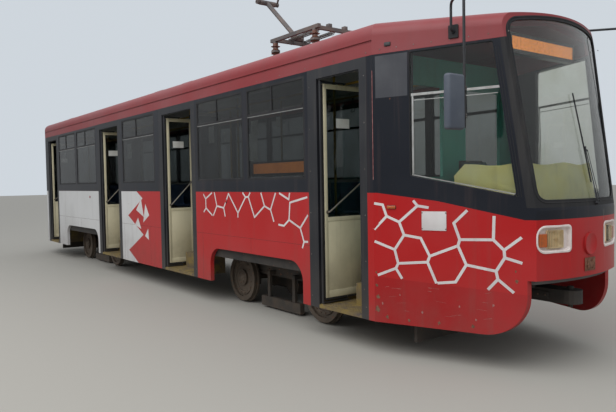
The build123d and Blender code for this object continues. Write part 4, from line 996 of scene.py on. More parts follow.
# %% Door leaves
leaf_low_z, leaf_high_z, sill_z = rail + 0.40, rail + 2.88, rail + 1.36
leaf_frame, leaf_half, guard = 0.057, 0.018, 0.012
head_z, grab_inset = leaf_high_z - leaf_frame, 0.05
grab_low_z, grab_high_z = rail + 1.418, rail + 1.80
notice_z = rail + 2.44
for label, (x, pivot_y, width, face) in leaf_places.items():
    low_y, high_y = pivot_y - width / 2, pivot_y + width / 2
    inner_low, inner_high = low_y + guard, high_y - guard
    hole_low, hole_high = low_y + leaf_frame, high_y - leaf_frame
    enamel, seals, glazing, metal, notice = new_meshes(5)
    rail_half, across = leaf_half - 0.0006, (hole_low - 0.004, hole_high + 0.004)
    # Each block of the leaf: its mesh, half thickness, ends in y and z, and its rounded edge.
    for mesh, half, ends_y, ends_z, edge in (
        (enamel, leaf_half, (inner_low, hole_low), (leaf_low_z + 0.03, leaf_high_z), 0.004),
        (enamel, leaf_half, (hole_high, inner_high), (leaf_low_z + 0.03, leaf_high_z), 0.004),
        (enamel, rail_half, across, (head_z, leaf_high_z - 0.0005), 0.003),
        (enamel, rail_half, across, (sill_z - 0.05, sill_z), 0.003),
        (enamel, rail_half, across, (leaf_low_z + 0.03, leaf_low_z + 0.11), 0.003),
        (enamel, 0.013, (hole_low - 0.003, hole_high + 0.003), (leaf_low_z + 0.10, sill_z - 0.04), 0.002),
        (seals, 0.012, (low_y, inner_low), (leaf_low_z + 0.02, leaf_high_z - 0.01), 0.005),
        (seals, 0.012, (inner_high, high_y), (leaf_low_z + 0.02, leaf_high_z - 0.01), 0.005),
        (seals, 0.014, (low_y + 0.01, high_y - 0.01), (leaf_low_z + 0.002, leaf_low_z + 0.034), 0.004),
        (glazing, 0.003, (hole_low - 0.006, hole_high + 0.006), (sill_z - 0.006, head_z + 0.006), 0.0),
    ):
        add_block(mesh, (x - half, ends_y[0], ends_z[0]), (x + half, ends_y[1], ends_z[1]), edge)
    face_x, tube_x = x + face * leaf_half, x + face * (leaf_half + 0.035)
    grab_ends = ((low_y + grab_inset, grab_low_z), (high_y - grab_inset, grab_high_z))
    (first_y, first_z), (last_y, last_z) = grab_ends
    grab = [(face_x, first_y, first_z), (tube_x, first_y, first_z)]
    grab += [(tube_x, last_y, last_z), (face_x, last_y, last_z)]
    add_tube(metal, rounded_path(grab, 0.025, 5), 0.0105, 12)
    for y, z in grab_ends:
        add_bar(metal, (face_x - face * 0.001, y, z), (face_x + face * 0.005, y, z), 0.021, 20)
    for z in (leaf_low_z + 0.012, leaf_high_z - 0.012):
        add_bar(metal, (x, pivot_y, z - 0.010), (x, pivot_y, z + 0.0115), 0.015, 16)
    near, far = sorted((x + face * 0.0034, x + face * 0.0042))
    notice_y = pivot_y - width * 0.04
    add_block(notice, (near, notice_y - 0.10, notice_z - 0.055), (far, notice_y + 0.10, notice_z + 0.055))
    body = label + "_leaf"
    piece(f"{label}_skin", enamel, cream_enamel, body, replaces=(body,))
    piece(f"{label}_seals", seals, rubber, body)
    piece(f"{label}_pane", glazing, door_glass, body, smooth=False)
    piece(f"{label}_grab", metal, dull_tube, body)
    piece(f"{label}_notice", notice, paper, body, smooth=False)
    loop = [(hole_low, sill_z), (hole_high, sill_z), (hole_high, head_z), (hole_low, head_z)]
    loops = [[(x + out, y, z) for y, z in loop] for out in (-0.0065, 0.0065)]
    beaded(f"{label}_bead", loops, 0.0055, 0.012, 6, body)
print("leaves built", len(leaf_places))

# %% [markdown]
# Under each doorway the sheet-metal well has yellow nosings, a ribbed tread and the seal that the
# leaves close against.

# %% Doorway trim
tread_z, tread_pitch, tread_rows, tread_row_gap = rail + 0.36, 0.05, 5, 0.035
seal_near, seal_far, seal_top_z = -half_width + 0.012, -half_width + 0.024, rail + 2.929
nosings, seals = new_meshes(2)
treads = []
for rear, front in openings.values():
    add_block(
        nosings, (rear + 0.01, -half_width + 0.008, tread_z + 0.0003),
        (front - 0.01, -half_width + 0.045, tread_z + 0.006), 0.002,
    )
    for row in range(tread_rows):
        for column in range(int((front - rear - 0.1) / tread_pitch)):
            x, y = rear + 0.06 + column * tread_pitch, -half_width + 0.07 + row * tread_row_gap
            treads.append(((x, y, tread_z + 0.0016), (0, 0, 1)))
    for x in (rear - 0.006, front + 0.006):
        low, high = (x - 0.0055, seal_near, tread_z + 0.05), (x + 0.0055, seal_far, seal_top_z - 0.009)
        add_block(seals, low, high, 0.003)
    add_block(seals, (rear, seal_near, seal_top_z - 0.014), (front, seal_far, seal_top_z), 0.003)
piece("door_nosings", nosings, step_paint)
piece("door_seals", seals, rubber)
screwed("tread_studs", treads, 0.009, 0.003, 10, step_paint, "step_sheet")
print("tread studs", len(treads))

# %% [markdown]
# The right side carries a drawing in white film: a web of straight lines. Points are scattered at
# random with a fixed seed and kept apart, and the web's cells are drawn round them: each line joins
# the middles of two neighbouring triangles of a triangulation, and is cut to where a drawing may be.
# All strips are joined into one flat film, so nothing overlaps.

# %% Films and the white web of lines
def film(name, outlines, side, finish, slope=0.0, stand_off=0.0002, thickness=0.0003):
    """One thin film on a side, from flat outlines (x, z) that may overlap."""
    points, faces = [], []
    for outline in outlines:
        faces.append(list(range(len(points), len(points) + len(outline))))
        points += [Vector(p) for p in outline]
    flat, _, triangles, _, _, origins = delaunay_2d_cdt(points, [], faces, 0, 1e-5)
    mesh = bmesh.new()
    corners = [mesh.verts.new(on_side(p.x, side, p.y, stand_off)) for p in flat]
    for triangle, origin in zip(triangles, origins):
        if origin:
            mesh.faces.new([corners[i] for i in triangle])
    bmesh.ops.delete(mesh, geom=[v for v in mesh.verts if not v.link_faces], context="VERTS")
    bmesh.ops.dissolve_limit(mesh, angle_limit=0.01, verts=mesh.verts, edges=mesh.edges)
    raised = bmesh.ops.extrude_face_region(mesh, geom=mesh.faces[:])["geom"]
    way = Vector((slope, side, 0)).normalized() * thickness
    bmesh.ops.translate(mesh, verts=[v for v in raised if isinstance(v, bmesh.types.BMVert)], vec=way)
    return piece(name, mesh, finish, smooth=False)


def strip(start, end, width):
    """The flat outline of one line, a little longer than its two points."""
    start, end = Vector(start), Vector(end)
    along = (end - start).normalized()
    across = Vector((-along.y, along.x)) * width / 2
    start, end = start - along * width * 0.3, end + along * width * 0.3
    return [start - across, end - across, end + across, start + across]


def web(seed, low, high, spacing, inside, width):
    """The strips of a web of cells round scattered points, each cut to where inside() allows it."""
    draw = random.Random(seed)
    margin, tries, samples = 0.4, 2500, 40
    points = []
    for _ in range(tries):
        x = draw.uniform(low[0] - margin, high[0] + margin)
        p = Vector((x, draw.uniform(low[1] - margin, high[1] + margin)))
        if all((p - q).length > spacing for q in points):
            points.append(p)
    corners, _, triangles, _, _, _ = delaunay_2d_cdt(points, [], [], 0, 1e-4)
    middles, beside = [], {}
    for number, triangle in enumerate(triangles):
        (ax, ay), (bx, by), (cx, cy) = (corners[i] for i in triangle)
        twice = 2 * (ax * (by - cy) + bx * (cy - ay) + cx * (ay - by))
        a, b, c = ax * ax + ay * ay, bx * bx + by * by, cx * cx + cy * cy
        middle_x = (a * (by - cy) + b * (cy - ay) + c * (ay - by)) / twice
        middles.append(Vector((middle_x, (a * (cx - bx) + b * (ax - cx) + c * (bx - ax)) / twice)))
        for i in range(3):
            beside.setdefault(tuple(sorted((triangle[i - 1], triangle[i]))), []).append(number)
    strips = []
    for pair in beside.values():
        if len(pair) == 2:
            start, way = middles[pair[0]], middles[pair[1]] - middles[pair[0]]
            allowed = [t / samples for t in range(samples + 1) if inside(*(start + way * t / samples))]
            if len(allowed) > 3 and way.length * (allowed[-1] - allowed[0]) > 0.05:
                strips.append(strip(start + way * allowed[0], start + way * allowed[-1], width))
    return strips


def on_panel(x, z):
    """Where the drawing may be between the two front doors: below the belt and clear of the arch."""
    over_arch = 2.48 < x < 4.87 and z < rail + 0.93
    lower_edge = max(rail + 0.42, rail + 1.30 - 0.5 * max(0.0, x - 4.1) ** 1.5)
    return 2.35 < x < 4.945 and lower_edge < z < belt_z - 0.012 and not over_arch


def on_cab(x, z):
    """Where the drawing may be on the tapered cab side: clear of the plate and of the lamp."""
    first_line = belt_z - first_bend[1] * (x - first_bend[0])
    second_line = second_bend_z - second_bend[1] * (x - second_bend[0])
    in_height = rail + 0.80 - 0.05 * (x - 6.1) < z < min(first_line, second_line) - 0.03
    on_plate = 6.50 < x < 6.84 and rail + 1.24 < z < rail + 1.50
    on_lamp = 6.17 < x < 6.34 and z > rail + 1.45
    return 6.075 < x < 7.44 and in_height and not on_plate and not on_lamp


drawing = {"stand_off": 0.0004, "thickness": 0.0006}
panel_web = web(8, (2.2, 0.5), (4.95, 1.67), 0.26, on_panel, 0.024)
film("panel_line_net", panel_web, -1, white_film, **drawing)
cab_web = web(3, (6.1, 0.7), (7.45, 1.66), 0.235, on_cab, 0.026)
film("cab_line_net", cab_web, -1, white_film, nose_slope, **drawing)
facets = [
    [(-0.34, 1.30), (0.02, 1.18), (-0.10, 1.50)], [(-0.02, 1.08), (0.26, 1.22), (0.10, 1.42)],
    [(-0.42, 1.02), (-0.12, 0.96), (-0.26, 1.16)], [(0.05, 0.84), (0.22, 0.78), (0.20, 0.98)],
]
film("rear_facets", [[(x, rail + z) for x, z in facet] for facet in facets], -1, white_film, **drawing)
print("lines", len(panel_web), len(cab_web))

# %% [markdown]
# Small plates are blank: the white plate on the cab side and the paper notices in the windows. The
# destination signs show an even amber face.

# %% Blank plate, notices and sign faces
plate_x, plate_z, plate_length, plate_height = 6.67, rail + 1.371, 0.250, 0.186
plates, plate, notices, signs = new_meshes(4)
half_length, half_height = plate_length / 2, plate_height / 2
add_block(plate, (-half_length, -0.003, -half_height), (half_length, 0, half_height), 0.004)
plate_place = Matrix.Translation(on_side(plate_x, -1, plate_z) + cab_way(-1) * 0.0008)
add_part(plates, plate, plate_place @ Matrix.Rotation(math.atan(nose_slope), 4, "Z"))
piece("blank_plates", plates, white_film)
screws = []
for a in (-0.112, 0.112):
    for b in (-0.078, 0.078):
        screws.append((on_side(plate_x + a, -1, plate_z + b) + cab_way(-1) * 0.005, cab_way(-1)))
notice_places = (
    (2.62, 2.48, 0.17, 0.24), (3.02, 2.42, 0.07, 0.14), (3.74, 2.24, 0.25, 0.36), (3.80, 2.50, 0.17, 0.16),
    (4.35, 2.52, 0.09, 0.12), (-0.62, 2.40, 0.20, 0.28), (-3.35, 2.40, 0.20, 0.28), (-4.9, 2.5, 0.21, 0.15),
)
near = -pane_y + 0.0071
for x, z, length, height in notice_places:
    low_z, high_z = rail + z - height / 2, rail + z + height / 2
    add_block(notices, (x - length / 2, near, low_z), (x + length / 2, near + 0.0008, high_z))
piece("window_notices", notices, paper, smooth=False)
sign_y = -half_width + 0.060
add_block(signs, (3.69, sign_y - 0.0015, rail + 1.885), (4.93, sign_y - 0.0003, rail + 2.015))
add_block(signs, (7.2003, -0.52, rail + 2.985), (7.2018, 0.52, rail + 3.105))
piece("sign_faces", signs, sign_glow, smooth=False)
print("notices", len(notice_places) + len(leaf_places))

# %% [markdown]
# A headlamp unit is a white moulded bezel with a deep recess. In it stand a warm reflector under a
# ribbed glass and, outboard of it, the amber turn signal. The unit is drawn flat in its own axes as
# a stack of outlines (depth, half width, half height), bent to the nose's bow and turned to its
# place. The tail lamps are made in the same way.

# %% Outlines of the lamp units
bezel_corners, recess_corners = (0.098, 0.042, 0.042, 0.098), (0.080, 0.030, 0.030, 0.080)
bezel_layers = (
    (-0.034, 0.199, 0.116, recess_corners), (0.0005, 0.199, 0.116, recess_corners), (0.0005, 0.209, 0.126),
    (0.0030, 0.209, 0.126), (0.0055, 0.206, 0.123), (0.0055, 0.194, 0.109, recess_corners),
    (0.001, 0.190, 0.105, recess_corners), (-0.030, 0.181, 0.092, recess_corners),
)
pot_layers = (
    (-0.0295, 0.0955, 0.0830), (-0.0080, 0.0955, 0.0830), (-0.0080, 0.0900, 0.0775), (-0.0160, 0.0720, 0.0620),
    (-0.0240, 0.0450, 0.0400), (-0.0275, 0.0200, 0.0180),
)
glass_layers = ((-0.0078, 0.0945, 0.0820), (-0.0040, 0.0945, 0.0820), (-0.0012, 0.0905, 0.0780))
signal_layers = ((-0.0295, 0.0445, 0.0600), (-0.0060, 0.0445, 0.0600), (-0.0015, 0.0400, 0.0555))
opening_layers = ((-0.20, 0.1995, 0.1165), (0.08, 0.1995, 0.1165))
case_layers = (
    (-0.030, 0.0975, 0.113), (0.003, 0.0975, 0.113), (0.0065, 0.094, 0.1095), (0.0065, 0.086, 0.1015),
    (-0.012, 0.084, 0.0995),
)
pot_middle, signal_middle = (-0.015, 0.0), (0.1285, -0.008)
print("headlamp width", 2 * bezel_layers[2][1])

# %% Lamp units
def bow_place(axis_x, radius, end, side, y, z):
    """The turn and shift of a flat unit on a bowed end (1 front, -1 rear)."""
    reach = math.sqrt(radius**2 - y**2)
    out = Vector((end * reach, side * y, 0)) / radius
    outboard = Vector((-end * y, side * reach, 0)) / radius
    return Matrix.Translation((axis_x + end * reach, side * y, z)) @ facing_way(out, outboard)


def bend_to_place(meshes, radius, place):
    """Bends flat units to the body's bow and sets them in their place."""
    for mesh in meshes:
        for v in mesh.verts:
            v.co.x -= v.co.y**2 / (2 * radius)
        bmesh.ops.transform(mesh, matrix=place, verts=mesh.verts)


cutters = []
for word, side in (("right", -1), ("left", 1)):
    bezel, pot, lens, signal, cutter = new_meshes(5)
    add_stack(bezel, bezel_layers, bezel_corners)
    add_stack(pot, pot_layers, (0.012,) * 4, pot_middle)
    add_bar(pot, (-0.0285, pot_middle[0], 0), (-0.016, pot_middle[0], 0), 0.012, 14, 0.007)
    add_stack(lens, glass_layers, (0.013,) * 4, pot_middle, True)
    for rib in range(-4, 5):
        across = pot_middle[0] + rib * 0.019
        add_block(lens, (-0.0035, across - 0.0022, -0.070), (-0.0002, across + 0.0022, 0.070), 0.0012, 1)
    add_stack(signal, signal_layers, (0.009,) * 4, signal_middle)
    add_stack(cutter, opening_layers, recess_corners, first_cap=True)
    place = bow_place(bow_axis_x, bow_radius, 1, side, 0.4915, rail + 1.217)
    bend_to_place((bezel, pot, lens, signal, cutter), bow_radius, place)
    cutters.append(mesh_data("cutter", cutter))
    piece(f"{word}_headlamp_bezel", bezel, lamp_white, replaces=("headlamps",) if side < 0 else ())
    piece(f"{word}_headlamp_pot", pot, warm_reflector)
    piece(f"{word}_headlamp_glass", lens, lamp_glass)
    piece(f"{word}_turn_signal", signal, amber_lens)

    case, stop_lens, turn_lens, white_lens = new_meshes(4)
    add_stack(case, case_layers, (0.022,) * 4)
    lens_rows = ((stop_lens, 0.046, 0.042), (turn_lens, -0.030, 0.031), (white_lens, -0.083, 0.0195))
    for mesh, shift, half in lens_rows:
        layers = ((-0.0118, 0.080, half), (0.001, 0.080, half), (0.0045, 0.076, half - 0.004))
        add_stack(mesh, layers, (0.006,) * 4, (0.0, shift))
    place = bow_place(tail_tip_x + tail_radius, tail_radius, -1, side, 0.66, rail + 1.215)
    bend_to_place((case, stop_lens, turn_lens, white_lens), tail_radius, place)
    piece(f"{word}_tail_lamp_case", case, rubber, replaces=("tail_lamps",) if side < 0 else ())
    piece(f"{word}_stop_lens", stop_lens, red_lens)
    piece(f"{word}_rear_turn_lens", turn_lens, amber_lens)
    piece(f"{word}_reverse_lens", white_lens, clear_lens)
print("lamp units made")

# %% [markdown]
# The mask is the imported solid, copied and merged, with its two openings cut to the width of the
# lamp units. A Boolean modifier does that cleanly, because both forms are closed.

# %% Front mask with its lamp openings
mask = bmesh.new()
mask.from_mesh(nodes["front_mask"].data)
bmesh.ops.remove_doubles(mask, verts=mask.verts, dist=1e-5)
opened = bpy.data.objects.new("mask_panel", mesh_data("mask_panel", mask))
holders = [bpy.data.objects.new("cutter", data) for data in cutters]
for obj in (opened, *holders):
    scene.collection.objects.link(obj)
for holder in holders:
    cut = opened.modifiers.new("opening", "BOOLEAN")
    cut.operation = "DIFFERENCE"
    cut.solver = "EXACT"
    cut.object = holder
panel = bmesh.new()
panel.from_mesh(result_of(opened))
for obj in (opened, *holders):
    bpy.data.objects.remove(obj)
print("mask faces", len(panel.faces))
piece("front_mask_panel", panel, body_paint, replaces=("front_mask",))

# %% [markdown]
# The mirrors are shells with soft edges on bent tubes with flanges, clamps and screws. Their glass
# faces backwards and is a sunk plate of bright metal under dust.

# %% Mirrors
mirror_root_x, mirror_root_z, mirror_pole_x, mirror_pole_y = 6.866, rail + 3.15, 7.32, 1.367
shell_ends, clamp_y = (1.386, 1.589), 1.374
mirror_shells, mirror_arms, mirror_glass = new_meshes(3)
for side in (-1, 1):
    out = cab_way(side)
    root = on_side(mirror_root_x, side, mirror_root_z)
    add_bar(mirror_arms, root + out * 0.0005, root + out * 0.008, 0.045, 28)
    add_bar(mirror_arms, root + out * 0.007, root + out * 0.030, 0.026, 20, 0.019)
    stub, pole_y = root + out * 0.070, side * mirror_pole_y
    path = [root + out * 0.008, stub, (stub.x, stub.y, rail + 3.40)]
    path += [(mirror_pole_x, pole_y, rail + z) for z in (3.40, 2.20)]
    add_tube(mirror_arms, rounded_path(path, 0.055, 7), 0.0125, 14)
    for quarter in range(4):
        angle = quarter * math.pi / 2 + 0.78
        around = Vector((-out.y * math.cos(angle), out.x * math.cos(angle), math.sin(angle)))
        screws.append((root + out * 0.0095 + around * 0.034, out))
    add_side_block(
        mirror_shells, side, (7.274, shell_ends[0], rail + 2.182),
        (7.349, shell_ends[1], rail + 2.643), 0.024, 4,
    )
    add_side_block(
        mirror_glass, side, (7.2715, shell_ends[0] + 0.016, rail + 2.200),
        (7.2765, shell_ends[1] - 0.016, rail + 2.625), 0.002, 1,
    )
    for z in (rail + 2.30, rail + 2.53):
        add_side_block(
            mirror_arms, side, (7.300, clamp_y - 0.018, z - 0.022), (7.342, clamp_y + 0.018, z + 0.022), 0.006
        )
        for up_z in (0.010, -0.010):
            screws.append((Vector((7.3435, side * clamp_y, z + up_z)), (1, 0, 0)))
piece("mirror_shells", mirror_shells, mirror_housing, replaces=("mirrors",))
piece("mirror_arms", mirror_arms, black_enamel)
piece("mirror_faces", mirror_glass, mirror_face)
print("screws so far", len(screws))

# %% [markdown]
# Round beads of rubber show where panes sit: round the bowed windshield, round the cab's side
# windows and the rear windows. Two more ribs run down each corner pillar beside the windshield, and
# a bare metal frame carries each cab window's slider.

# %% Beads of the end windows
pane_low, pane_high = (0.655, rail + 1.563), (0.735, rail + 3.252)
pane_corner_z = pane_high[1] + crown_height(pane_high[0]) - crown_z
pane_corner_radius = 0.115
cab_pane_rear_x, cab_pane_front_x, inset = 6.44, 7.418, -0.008


def front_loop(grow, stand_off):
    """The windshield's outline on the nose, moved outward by grow."""
    low_y, low_z = pane_low[0] + grow, pane_low[1] - grow
    high_y, corner_z = pane_high[0] + grow, pane_corner_z + grow
    flat = [(high_y, corner_z), (low_y, low_z)]
    flat += [(low_y * (1 - 2 * t / 8), low_z) for t in range(1, 8)] + [(-low_y, low_z), (-high_y, corner_z)]
    for t in range(1, 12):
        y = -high_y + 2 * high_y * t / 12
        flat.append((y, pane_high[1] + grow + crown_height(y) - crown_z))
    flat = [Vector(p) for p in flat]
    outline = []
    for i, here in enumerate(flat):
        first, second = flat[i - 1] - here, flat[(i + 1) % len(flat)] - here
        angle = first.angle(second)
        if angle < 2.4:
            cut = (pane_corner_radius + grow) / math.tan(angle / 2)
            cuts = (min(cut, first.length * 0.9), min(cut, second.length * 0.9))
            outline += arc_at(here, first.normalized(), second.normalized(), cuts, 6)
        else:
            outline.append(here)
    return [Vector((nose_x(p.x, p.y, stand_off), p.x, p.y)) for p in outline]


def pillar_x(z):
    """Where the corner pillar's edge stands at height z: it leans back above the belt."""
    return cab_pane_front_x - lean * max(0.0, z - lean_z)


beaded("windshield_bead", [front_loop(-0.004, -0.004), front_loop(0.020, 0.0)], 0.0052, 0.001)
cab_low_z, cab_high_z = rail + 1.605, rail + 3.02
cab_outline = [
    (cab_pane_rear_x, rail + 1.81), (pillar_x(cab_low_z), cab_low_z), (pillar_x(cab_high_z), cab_high_z),
    (cab_pane_rear_x, cab_high_z),
]
tail_outline = [(-7.42, rail + 1.80), (-6.72, rail + 1.80), (-6.72, rail + 3.0), (-7.42, rail + 3.0)]
loops = []
for outline in (cab_outline, tail_outline):
    for side in (-1, 1):
        loops.append([on_side(x, side, z, inset) for x, z in outline])
rear_corners = [(-0.72, rail + 1.80), (0.72, rail + 1.80), (0.72, rail + 3.0), (-0.72, rail + 3.0)]
rear_loop = []
for (y0, z0), (y1, z1) in zip(rear_corners, rear_corners[1:] + rear_corners[:1]):
    for t in range(8):
        y, z = y0 + (y1 - y0) * t / 8, z0 + (z1 - z0) * t / 8
        bow_x = tail_tip_x + tail_radius - math.sqrt(tail_radius**2 - y**2)
        rear_loop.append(Vector((bow_x - inset, y, z)))
beaded("end_window_beads", loops + [rear_loop], 0.0068, 0.03)
print("end window outlines", len(loops) + 3)

# %% Corner pillar ribs and cab sliders
pillar_ribs = bmesh.new()
for side in (-1, 1):
    for shift in (0.018, 0.040):
        heights = [rail + 1.60 + step * 0.17 for step in range(9)]
        add_tube(pillar_ribs, [on_side(pillar_x(z) + shift, side, z, 0.0003) for z in heights], 0.0028, 6)
piece("corner_pillar_ribs", pillar_ribs, rubber)
slider = [
    strip((6.462, rail + 2.603), (7.25, rail + 2.603), 0.024),
    strip((6.47, rail + 2.548), (7.24, rail + 2.548), 0.007),
    strip((6.470, rail + 1.835), (6.470, rail + 2.600), 0.016),
    strip((6.462, rail + 1.822), (7.395, rail + 1.626), 0.009),
]
for word, side in (("right", -1), ("left", 1)):
    film(f"{word}_cab_slider", slider, side, bare_metal, nose_slope, -0.0095, 0.004)
print("slider strips", len(slider))

# %% [markdown]
# The wiper is a linkage: a cast boss, a tapered driving arm, a thin link beside it, and a blade with
# its carrier and rubber lip, all standing a little off the bowed glass.

# %% Windshield wiper
def on_glass(y, z, stand_off):
    return Vector((nose_x(y, rail + z, stand_off), y, rail + z))


def on_blade(t, stand_off):
    """A place along the blade, from its lower (0) to its upper (1) end."""
    return on_glass(0.060 - 0.12 * t, 1.72 + 0.84 * t, stand_off)


arms, lip = new_meshes(2)
# The bosses and pins: place (y, z), both stand-offs, radius, sides and end radius.
for y, z, near, far, radius, sides, end_radius in (
    (0.120, 1.525, 0.006, 0.030, 0.017, 20, 0.013), (0.165, 1.545, 0.006, 0.026, 0.011, 16, 0.009),
    (0.012, 2.05, 0.012, 0.030, 0.009, 14, 0.009), (0.050, 2.02, 0.012, 0.027, 0.006, 12, 0.006),
):
    add_bar(arms, on_glass(y, z, near), on_glass(y, z, far), radius, sides, end_radius)
# The arm, its foot, the link and the head: both ends (y, z, stand-off), radius, sides and flat size.
for start, end, radius, sides, flat in (
    ((0.120, 1.525, 0.024), (0.09, 1.66, 0.026), 0.009, 8, (0.011, 0.0045)),
    ((0.09, 1.655, 0.026), (0.010, 2.05, 0.025), 0.005, 8, (0.0065, 0.0035)),
    ((0.165, 1.545, 0.023), (0.05, 2.02, 0.023), 0.003, 8, None),
    ((0.055, 2.02, 0.018), (0.010, 2.05, 0.018), 0.004, 6, None),
):
    add_tube(arms, [on_glass(*start), on_glass(*end)], radius, sides, flat)
add_tube(arms, [on_blade(t / 8, 0.015) for t in range(9)], 0.004, 6, flat=(0.0055, 0.003))
for t in (0.15, 0.5, 0.85):
    add_bar(arms, on_blade(t, 0.010), on_blade(t, 0.021), 0.0045, 10)
add_tube(lip, [on_blade(t / 8, 0.0085) for t in range(9)], 0.003, 6, flat=(0.0025, 0.0045))
piece("wiper_arms", arms, black_enamel, replaces=("wiper",))
piece("wiper_lip", lip, rubber)
print("wiper made")

# %% [markdown]
# Behind the windshield a pale card lies along the console's edge, as wide as the front and bent
# round the corner to the driver's side. The console itself has a hood, switches and a control lever.

# %% Pale card
card = bmesh.new()
card_points = [(x, -side_y(x) + 0.105) for x in (6.80, 6.90, 7.00, 7.10, 7.20, 7.28)]
corner_points = len(card_points)
for y in (-0.62, -0.52, -0.42, -0.32, -0.22, -0.12, 0.0, 0.12, 0.24, 0.36, 0.46):
    card_points.append((bow_axis_x + math.sqrt((bow_radius - 0.135) ** 2 - y**2), y))
card_low_z, card_top_z, card_rows = rail + 1.512, rail + 1.90, 5
grid = []
for row in range(card_rows):
    line = []
    for i, (x, y) in enumerate(card_points):
        top = card_top_z + 0.012 * math.sin(i * 1.3) - (0.10 if i == 0 else 0.0)
        z = card_low_z + (top - card_low_z) * row / (card_rows - 1)
        wave = 0.006 * math.sin(i * 0.9 + row)
        if i < corner_points:
            y += wave
        else:
            x -= lean * max(0.0, z - lean_z) * 1.05
        line.append(card.verts.new((x + wave, y, z)))
    grid.append(line)
join_grid(card, grid)
bmesh.ops.solidify(card, geom=card.faces[:], thickness=0.003)
piece("console_card", card, pale_card)
print("card points", len(card_points))

# %% Console
console, knobs = new_meshes(2)
add_block(console, (7.16, -0.52, rail + 1.502), (7.30, -0.05, rail + 1.56), 0.02, 3)
add_block(console, (7.1495, -0.50, rail + 1.30), (7.152, 0.50, rail + 1.46))
# Rows of switches: how many, the first one's y, the pitch, height, end in x, radius and end radius.
for count, first_y, pitch, z, end_x, radius, end_radius in (
    (7, -0.40, 0.05, 1.42, 7.136, 0.011, 0.009), (5, 0.10, 0.06, 1.40, 7.140, 0.014, 0.012),
):
    for i in range(count):
        y = first_y + i * pitch
        add_bar(knobs, (7.151, y, rail + z), (end_x, y, rail + z), radius, 14, end_radius)
add_bar(knobs, (7.20, -0.60, rail + 1.50), (7.17, -0.60, rail + 1.62), 0.010, 12, 0.007)
add_bar(knobs, (7.17, -0.60, rail + 1.61), (7.165, -0.60, rail + 1.65), 0.018, 16, 0.015)
piece("console_hood", console, dash_skin)
piece("console_knobs", knobs, sign_black)
print("console made")

# %% [markdown]
# The driver's seat has a padded squab and back. Each pad starts as a crowned, rounded form a little
# smaller than its place; a short cloth run with inner pressure lets it swell, and its movement is
# capped. The pads sit on a steel pan and a bellows column.

# %% Driver's seat
voxel_size, cloth_frames, most_swell, cushion_fill = 0.009, 12, 0.007, 0.8


def crowned_pad(low, high, crown_axis):
    """A rounded block between two corners with one face domed and its edges pinched in."""
    mesh = bmesh.new()
    add_block(mesh, low, high, min(high - low) * 0.42, 4)
    bmesh.ops.subdivide_edges(mesh, edges=mesh.edges[:], cuts=3, use_grid_fill=True)
    middle, half = (low + high) / 2, (high - low) / 2
    flat_axes = [i for i in range(3) if i != crown_axis]
    for v in mesh.verts:
        share = [(v.co[i] - middle[i]) / half[i] for i in range(3)]
        a, b = (share[i] for i in flat_axes)
        dome = max(0.0, 1 - a**2) * max(0.0, 1 - b**2)
        if share[crown_axis] > 0:
            v.co[crown_axis] += dome * 0.012
        pinch = 0.010 * (1 - abs(a * b)) * (1 - dome)
        for axis in flat_axes:
            v.co[axis] -= math.copysign(pinch * abs(share[axis]) ** 3, share[axis])
    return mesh


def swollen(obj):
    """The pad's mesh after a short cloth run with inner pressure, with its movement capped."""
    remesh = obj.modifiers.new("remesh", "REMESH")
    remesh.mode = "VOXEL"
    remesh.voxel_size = voxel_size
    even = result_of(obj)
    obj.modifiers.clear()
    obj.data = even
    before = [v.co.copy() for v in even.vertices]
    cloth = obj.modifiers.new("swell", "CLOTH")
    cloth.settings.use_pressure = True
    cloth.settings.uniform_pressure_force = 3.0
    cloth.settings.quality = 5
    cloth.settings.effector_weights.gravity = 0.0
    for number in range(cloth_frames):
        scene.frame_set(number + 1)
    data = result_of(obj)
    obj.modifiers.clear()
    scene.frame_set(1)
    for v, old in zip(data.vertices, before):
        move = v.co - old
        v.co = old + move * min(1.0, most_swell / max(move.length, 1e-9))
    return data


def cushion(name, low, high, crown_axis):
    """A crowned pad between two corners, swollen by a short cloth run."""
    obj = bpy.data.objects.new(name, mesh_data(name, crowned_pad(Vector(low), Vector(high), crown_axis)))
    scene.collection.objects.link(obj)
    obj.data = swollen(obj)
    obj.data.materials.clear()
    obj.data.materials.append(seat_cloth)
    obj.data.shade_smooth()
    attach(obj, "car_body")
    print(name, len(obj.data.vertices), "points")


cushion("driver_squab", (6.385, -0.218, floor_z + 0.438), (6.785, 0.218, floor_z + 0.506), 2)
cushion("driver_back", (6.330, -0.215, floor_z + 0.54), (6.375, 0.215, floor_z + 1.10), 0)
seat_steel = bmesh.new()
add_block(seat_steel, (6.37, -0.22, floor_z + 0.415), (6.79, 0.22, floor_z + 0.430), 0.006)
add_block(seat_steel, (6.302, -0.20, floor_z + 0.50), (6.318, 0.20, floor_z + 1.11), 0.006)
seat_arm = [(6.31, 0, floor_z + 0.56), (6.31, 0, floor_z + 0.42), (6.55, 0, floor_z + 0.42)]
add_tube(seat_steel, rounded_path(seat_arm, 0.05), 0.02, 10)
for fold in range(9):
    z = floor_z + 0.03 + fold * 0.042
    add_bar(seat_steel, (6.575, 0, z), (6.575, 0, z + 0.021), 0.050, 20, 0.060)
    add_bar(seat_steel, (6.575, 0, z + 0.021), (6.575, 0, z + 0.042), 0.060, 20, 0.050)
piece("driver_seat_frame", seat_steel, dash_skin, replaces=("driver_seat",))

# %% [markdown]
# A saloon seat is one moulded shell: pan and back in one curve, with a turned lip, on a square
# pedestal with a foot plate. One shell is drawn as a curve with a width and set down at each place.

# %% Saloon seats
shells, pedestals = new_meshes(2)
